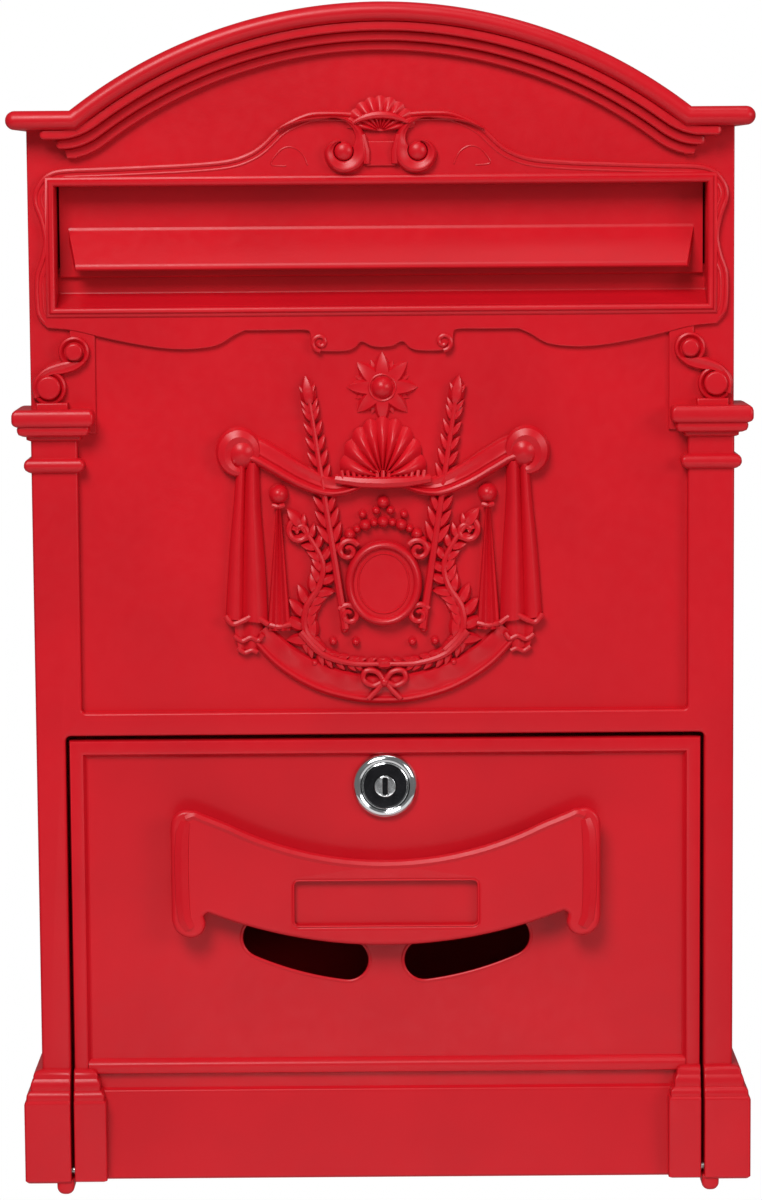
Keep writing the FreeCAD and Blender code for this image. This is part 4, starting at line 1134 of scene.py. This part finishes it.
# ---------------------------------------------------------------- carried-over nodes and stage

def dress_frame():
    """Gives the CAD nodes that stay their finishes."""
    slots = {part["node"]: part["material_slot"] for part in frame["record"]["subparts"]}
    for name, node in frame["nodes"].items():
        node.data.materials.clear()
        node.data.materials.append(finishes()[slots[name]])


def area_light(name, where, target, size, power):
    light = bpy.data.lights.new(name, "AREA")
    light.shape, light.size, light.energy = "SQUARE", size, power
    lamp = bpy.data.objects.new(name, light)
    lamp.location = where
    lamp.rotation_euler = (Vector(target) - Vector(where)).to_track_quat("-Z", "Y").to_euler()
    bpy.context.scene.collection.objects.link(lamp)


def white_room():
    """A world that looks white to the camera and lights the piece only softly."""
    world = bpy.data.worlds.new("studio")
    world.use_nodes = True
    tree = world.node_tree
    room, seen = tree.nodes["Background"], tree.nodes.new("ShaderNodeBackground")
    for background, strength in ((room, 0.16), (seen, 1.0)):
        background.inputs["Color"].default_value = (1, 1, 1, 1)
        background.inputs["Strength"].default_value = strength
    rays, mix = tree.nodes.new("ShaderNodeLightPath"), tree.nodes.new("ShaderNodeMixShader")
    tree.links.new(rays.outputs["Is Camera Ray"], mix.inputs[0])
    tree.links.new(room.outputs[0], mix.inputs[1])
    tree.links.new(seen.outputs[0], mix.inputs[2])
    tree.links.new(mix.outputs[0], tree.nodes["World Output"].inputs["Surface"])
    return world


def place_camera(scene):
    """A long lens a little above the piece, with the slightest roll."""
    target, distance, height_angle, roll = (-0.001, -0.085, 0.0191), 1.302, 6.55, -0.42
    camera = bpy.data.cameras.new("camera")
    camera.lens, camera.sensor_width = 111, 36
    eye = bpy.data.objects.new("camera", camera)
    tilt = radians(height_angle)
    eye.location = Vector(target) + distance * Vector((0, -cos(tilt), sin(tilt)))
    aim = (Vector(target) - eye.location).to_track_quat("-Z", "Y")
    eye.rotation_mode = "QUATERNION"
    eye.rotation_quaternion = aim @ Quaternion((0, 0, 1), radians(roll))
    scene.collection.objects.link(eye)
    scene.camera = eye


def make_stage(context):
    bpy.ops.object.select_all(action="DESELECT")
    bpy.ops.mesh.primitive_circle_add(vertices=96, radius=1.2, fill_type="NGON",
                                      location=(0, -0.1, -0.6))
    floor = context.object
    floor.name = floor.data.name = "studio_floor"
    settle()
    floor.data.materials.append(floor_paint(context.scene.letterbox_finish.floor))
    context.scene.world = white_room()
    context.scene.view_settings.view_transform = "Standard"
    area_light("key", (-0.5, -1.5, 1.3), (0, 0, 0.02), 0.8, 29.5)
    area_light("top", (0.25, -0.3, 1.5), (0, -0.05, 0), 0.6, 2.5)
    area_light("bounce", (0, -1.25, -0.56), (0, 0, -0.12), 0.5, 1.3)
    area_light("side", (1.3, -1.2, 0.5), (0, 0, 0), 0.7, 8)
    place_camera(context.scene)


# ---------------------------------------------------------------- operators

def built(context, *makers):
    """Runs the makers of an operator's pieces with the scene's sizes."""
    for make in makers:
        make(sizes(context))
    return {"FINISHED"}


class LETTERBOX_OT_roof(bpy.types.Operator):
    """Adds the arched roof slab and the three mouldings under it"""
    bl_idname = "letterbox.roof"
    bl_label = "Roof"

    def execute(self, context):
        return built(context, make_roof)


class LETTERBOX_OT_front(bpy.types.Operator):
    """Adds the front panel, the letter throat and the hinge nubs"""
    bl_idname = "letterbox.front"
    bl_label = "Front"

    def execute(self, context):
        return built(context, make_front_panel, make_throat)


class LETTERBOX_OT_pilasters(bpy.types.Operator):
    """Adds the frame of the front with its capitals and feet"""
    bl_idname = "letterbox.pilasters"
    bl_label = "Pilasters"

    def execute(self, context):
        return built(context, make_pilasters)


class LETTERBOX_OT_sides(bpy.types.Operator):
    """Adds the cast side walls with their flanges"""
    bl_idname = "letterbox.sides"
    bl_label = "Side walls"

    def execute(self, context):
        return built(context, make_side_walls)


class LETTERBOX_OT_surround(bpy.types.Operator):
    """Adds the moulded board round the letter opening and its crest"""
    bl_idname = "letterbox.surround"
    bl_label = "Surround and crest"

    def execute(self, context):
        return built(context, make_surround, make_crest)


class LETTERBOX_OT_consoles(bpy.types.Operator):
    """Adds the two scroll brackets over the capitals"""
    bl_idname = "letterbox.consoles"
    bl_label = "Scroll brackets"

    def execute(self, context):
        return built(context, make_consoles)


class LETTERBOX_OT_relief(bpy.types.Operator):
    """Adds the drapery, shell, rosette, leaves and blank cartouche in the middle panel"""
    bl_idname = "letterbox.relief"
    bl_label = "Relief ornament"

    def execute(self, context):
        return built(context, make_relief)


class LETTERBOX_OT_flap(bpy.types.Operator):
    """Adds the letter flap with its hem and finger lip"""
    bl_idname = "letterbox.flap"
    bl_label = "Letter flap"

    def execute(self, context):
        return built(context, make_flap)


class LETTERBOX_OT_door(bpy.types.Operator):
    """Adds the drop-down door with its frame, plinth and viewing slots"""
    bl_idname = "letterbox.door"
    bl_label = "Door"

    def execute(self, context):
        return built(context, make_door)


class LETTERBOX_OT_handle(bpy.types.Operator):
    """Adds the curved pull handle with its card recess"""
    bl_idname = "letterbox.handle"
    bl_label = "Pull handle"

    def execute(self, context):
        return built(context, make_handle)


class LETTERBOX_OT_lock(bpy.types.Operator):
    """Adds the cam lock's rim, cap and plug"""
    bl_idname = "letterbox.lock"
    bl_label = "Lock"

    def execute(self, context):
        return built(context, make_lock)


class LETTERBOX_OT_hardware(bpy.types.Operator):
    """Gives the plates, rods, screws and washers of the frame their finishes"""
    bl_idname = "letterbox.hardware"
    bl_label = "Hardware finishes"

    def execute(self, context):
        dress_frame()
        return {"FINISHED"}


class LETTERBOX_OT_stage(bpy.types.Operator):
    """Adds the floor, the studio light and the camera"""
    bl_idname = "letterbox.stage"
    bl_label = "Stage"

    def execute(self, context):
        make_stage(context)
        return {"FINISHED"}


STEPS = (LETTERBOX_OT_hardware, LETTERBOX_OT_roof, LETTERBOX_OT_front, LETTERBOX_OT_pilasters,
         LETTERBOX_OT_sides, LETTERBOX_OT_surround, LETTERBOX_OT_consoles, LETTERBOX_OT_relief,
         LETTERBOX_OT_flap, LETTERBOX_OT_door, LETTERBOX_OT_handle, LETTERBOX_OT_lock,
         LETTERBOX_OT_stage)


class LETTERBOX_PT_panel(bpy.types.Panel):
    """Lists the letterbox's sizes, colours and pieces"""
    bl_idname = "LETTERBOX_PT_panel"
    bl_label = "Wall letterbox"
    bl_space_type = "VIEW_3D"
    bl_region_type = "UI"
    bl_category = "Letterbox"

    def draw(self, context):
        layout = self.layout
        for group in (context.scene.letterbox_sizes, context.scene.letterbox_finish):
            column = layout.column(align=True)
            for key in type(group).__annotations__:
                column.prop(group, key)
        for step in STEPS:
            layout.operator(step.bl_idname)


CLASSES = (LETTERBOX_PG_sizes, LETTERBOX_PG_finish, *STEPS, LETTERBOX_PT_panel)


def register():
    for made in CLASSES:
        bpy.utils.register_class(made)
    bpy.types.Scene.letterbox_sizes = PointerProperty(type=LETTERBOX_PG_sizes)
    bpy.types.Scene.letterbox_finish = PointerProperty(type=LETTERBOX_PG_finish)


def unregister():
    del bpy.types.Scene.letterbox_finish
    del bpy.types.Scene.letterbox_sizes
    for made in reversed(CLASSES):
        bpy.utils.unregister_class(made)


def main():
    register()
    for step in STEPS:
        area, name = step.bl_idname.split(".")
        getattr(getattr(bpy.ops, area), name)()


if __name__ == "__main__":
    main()
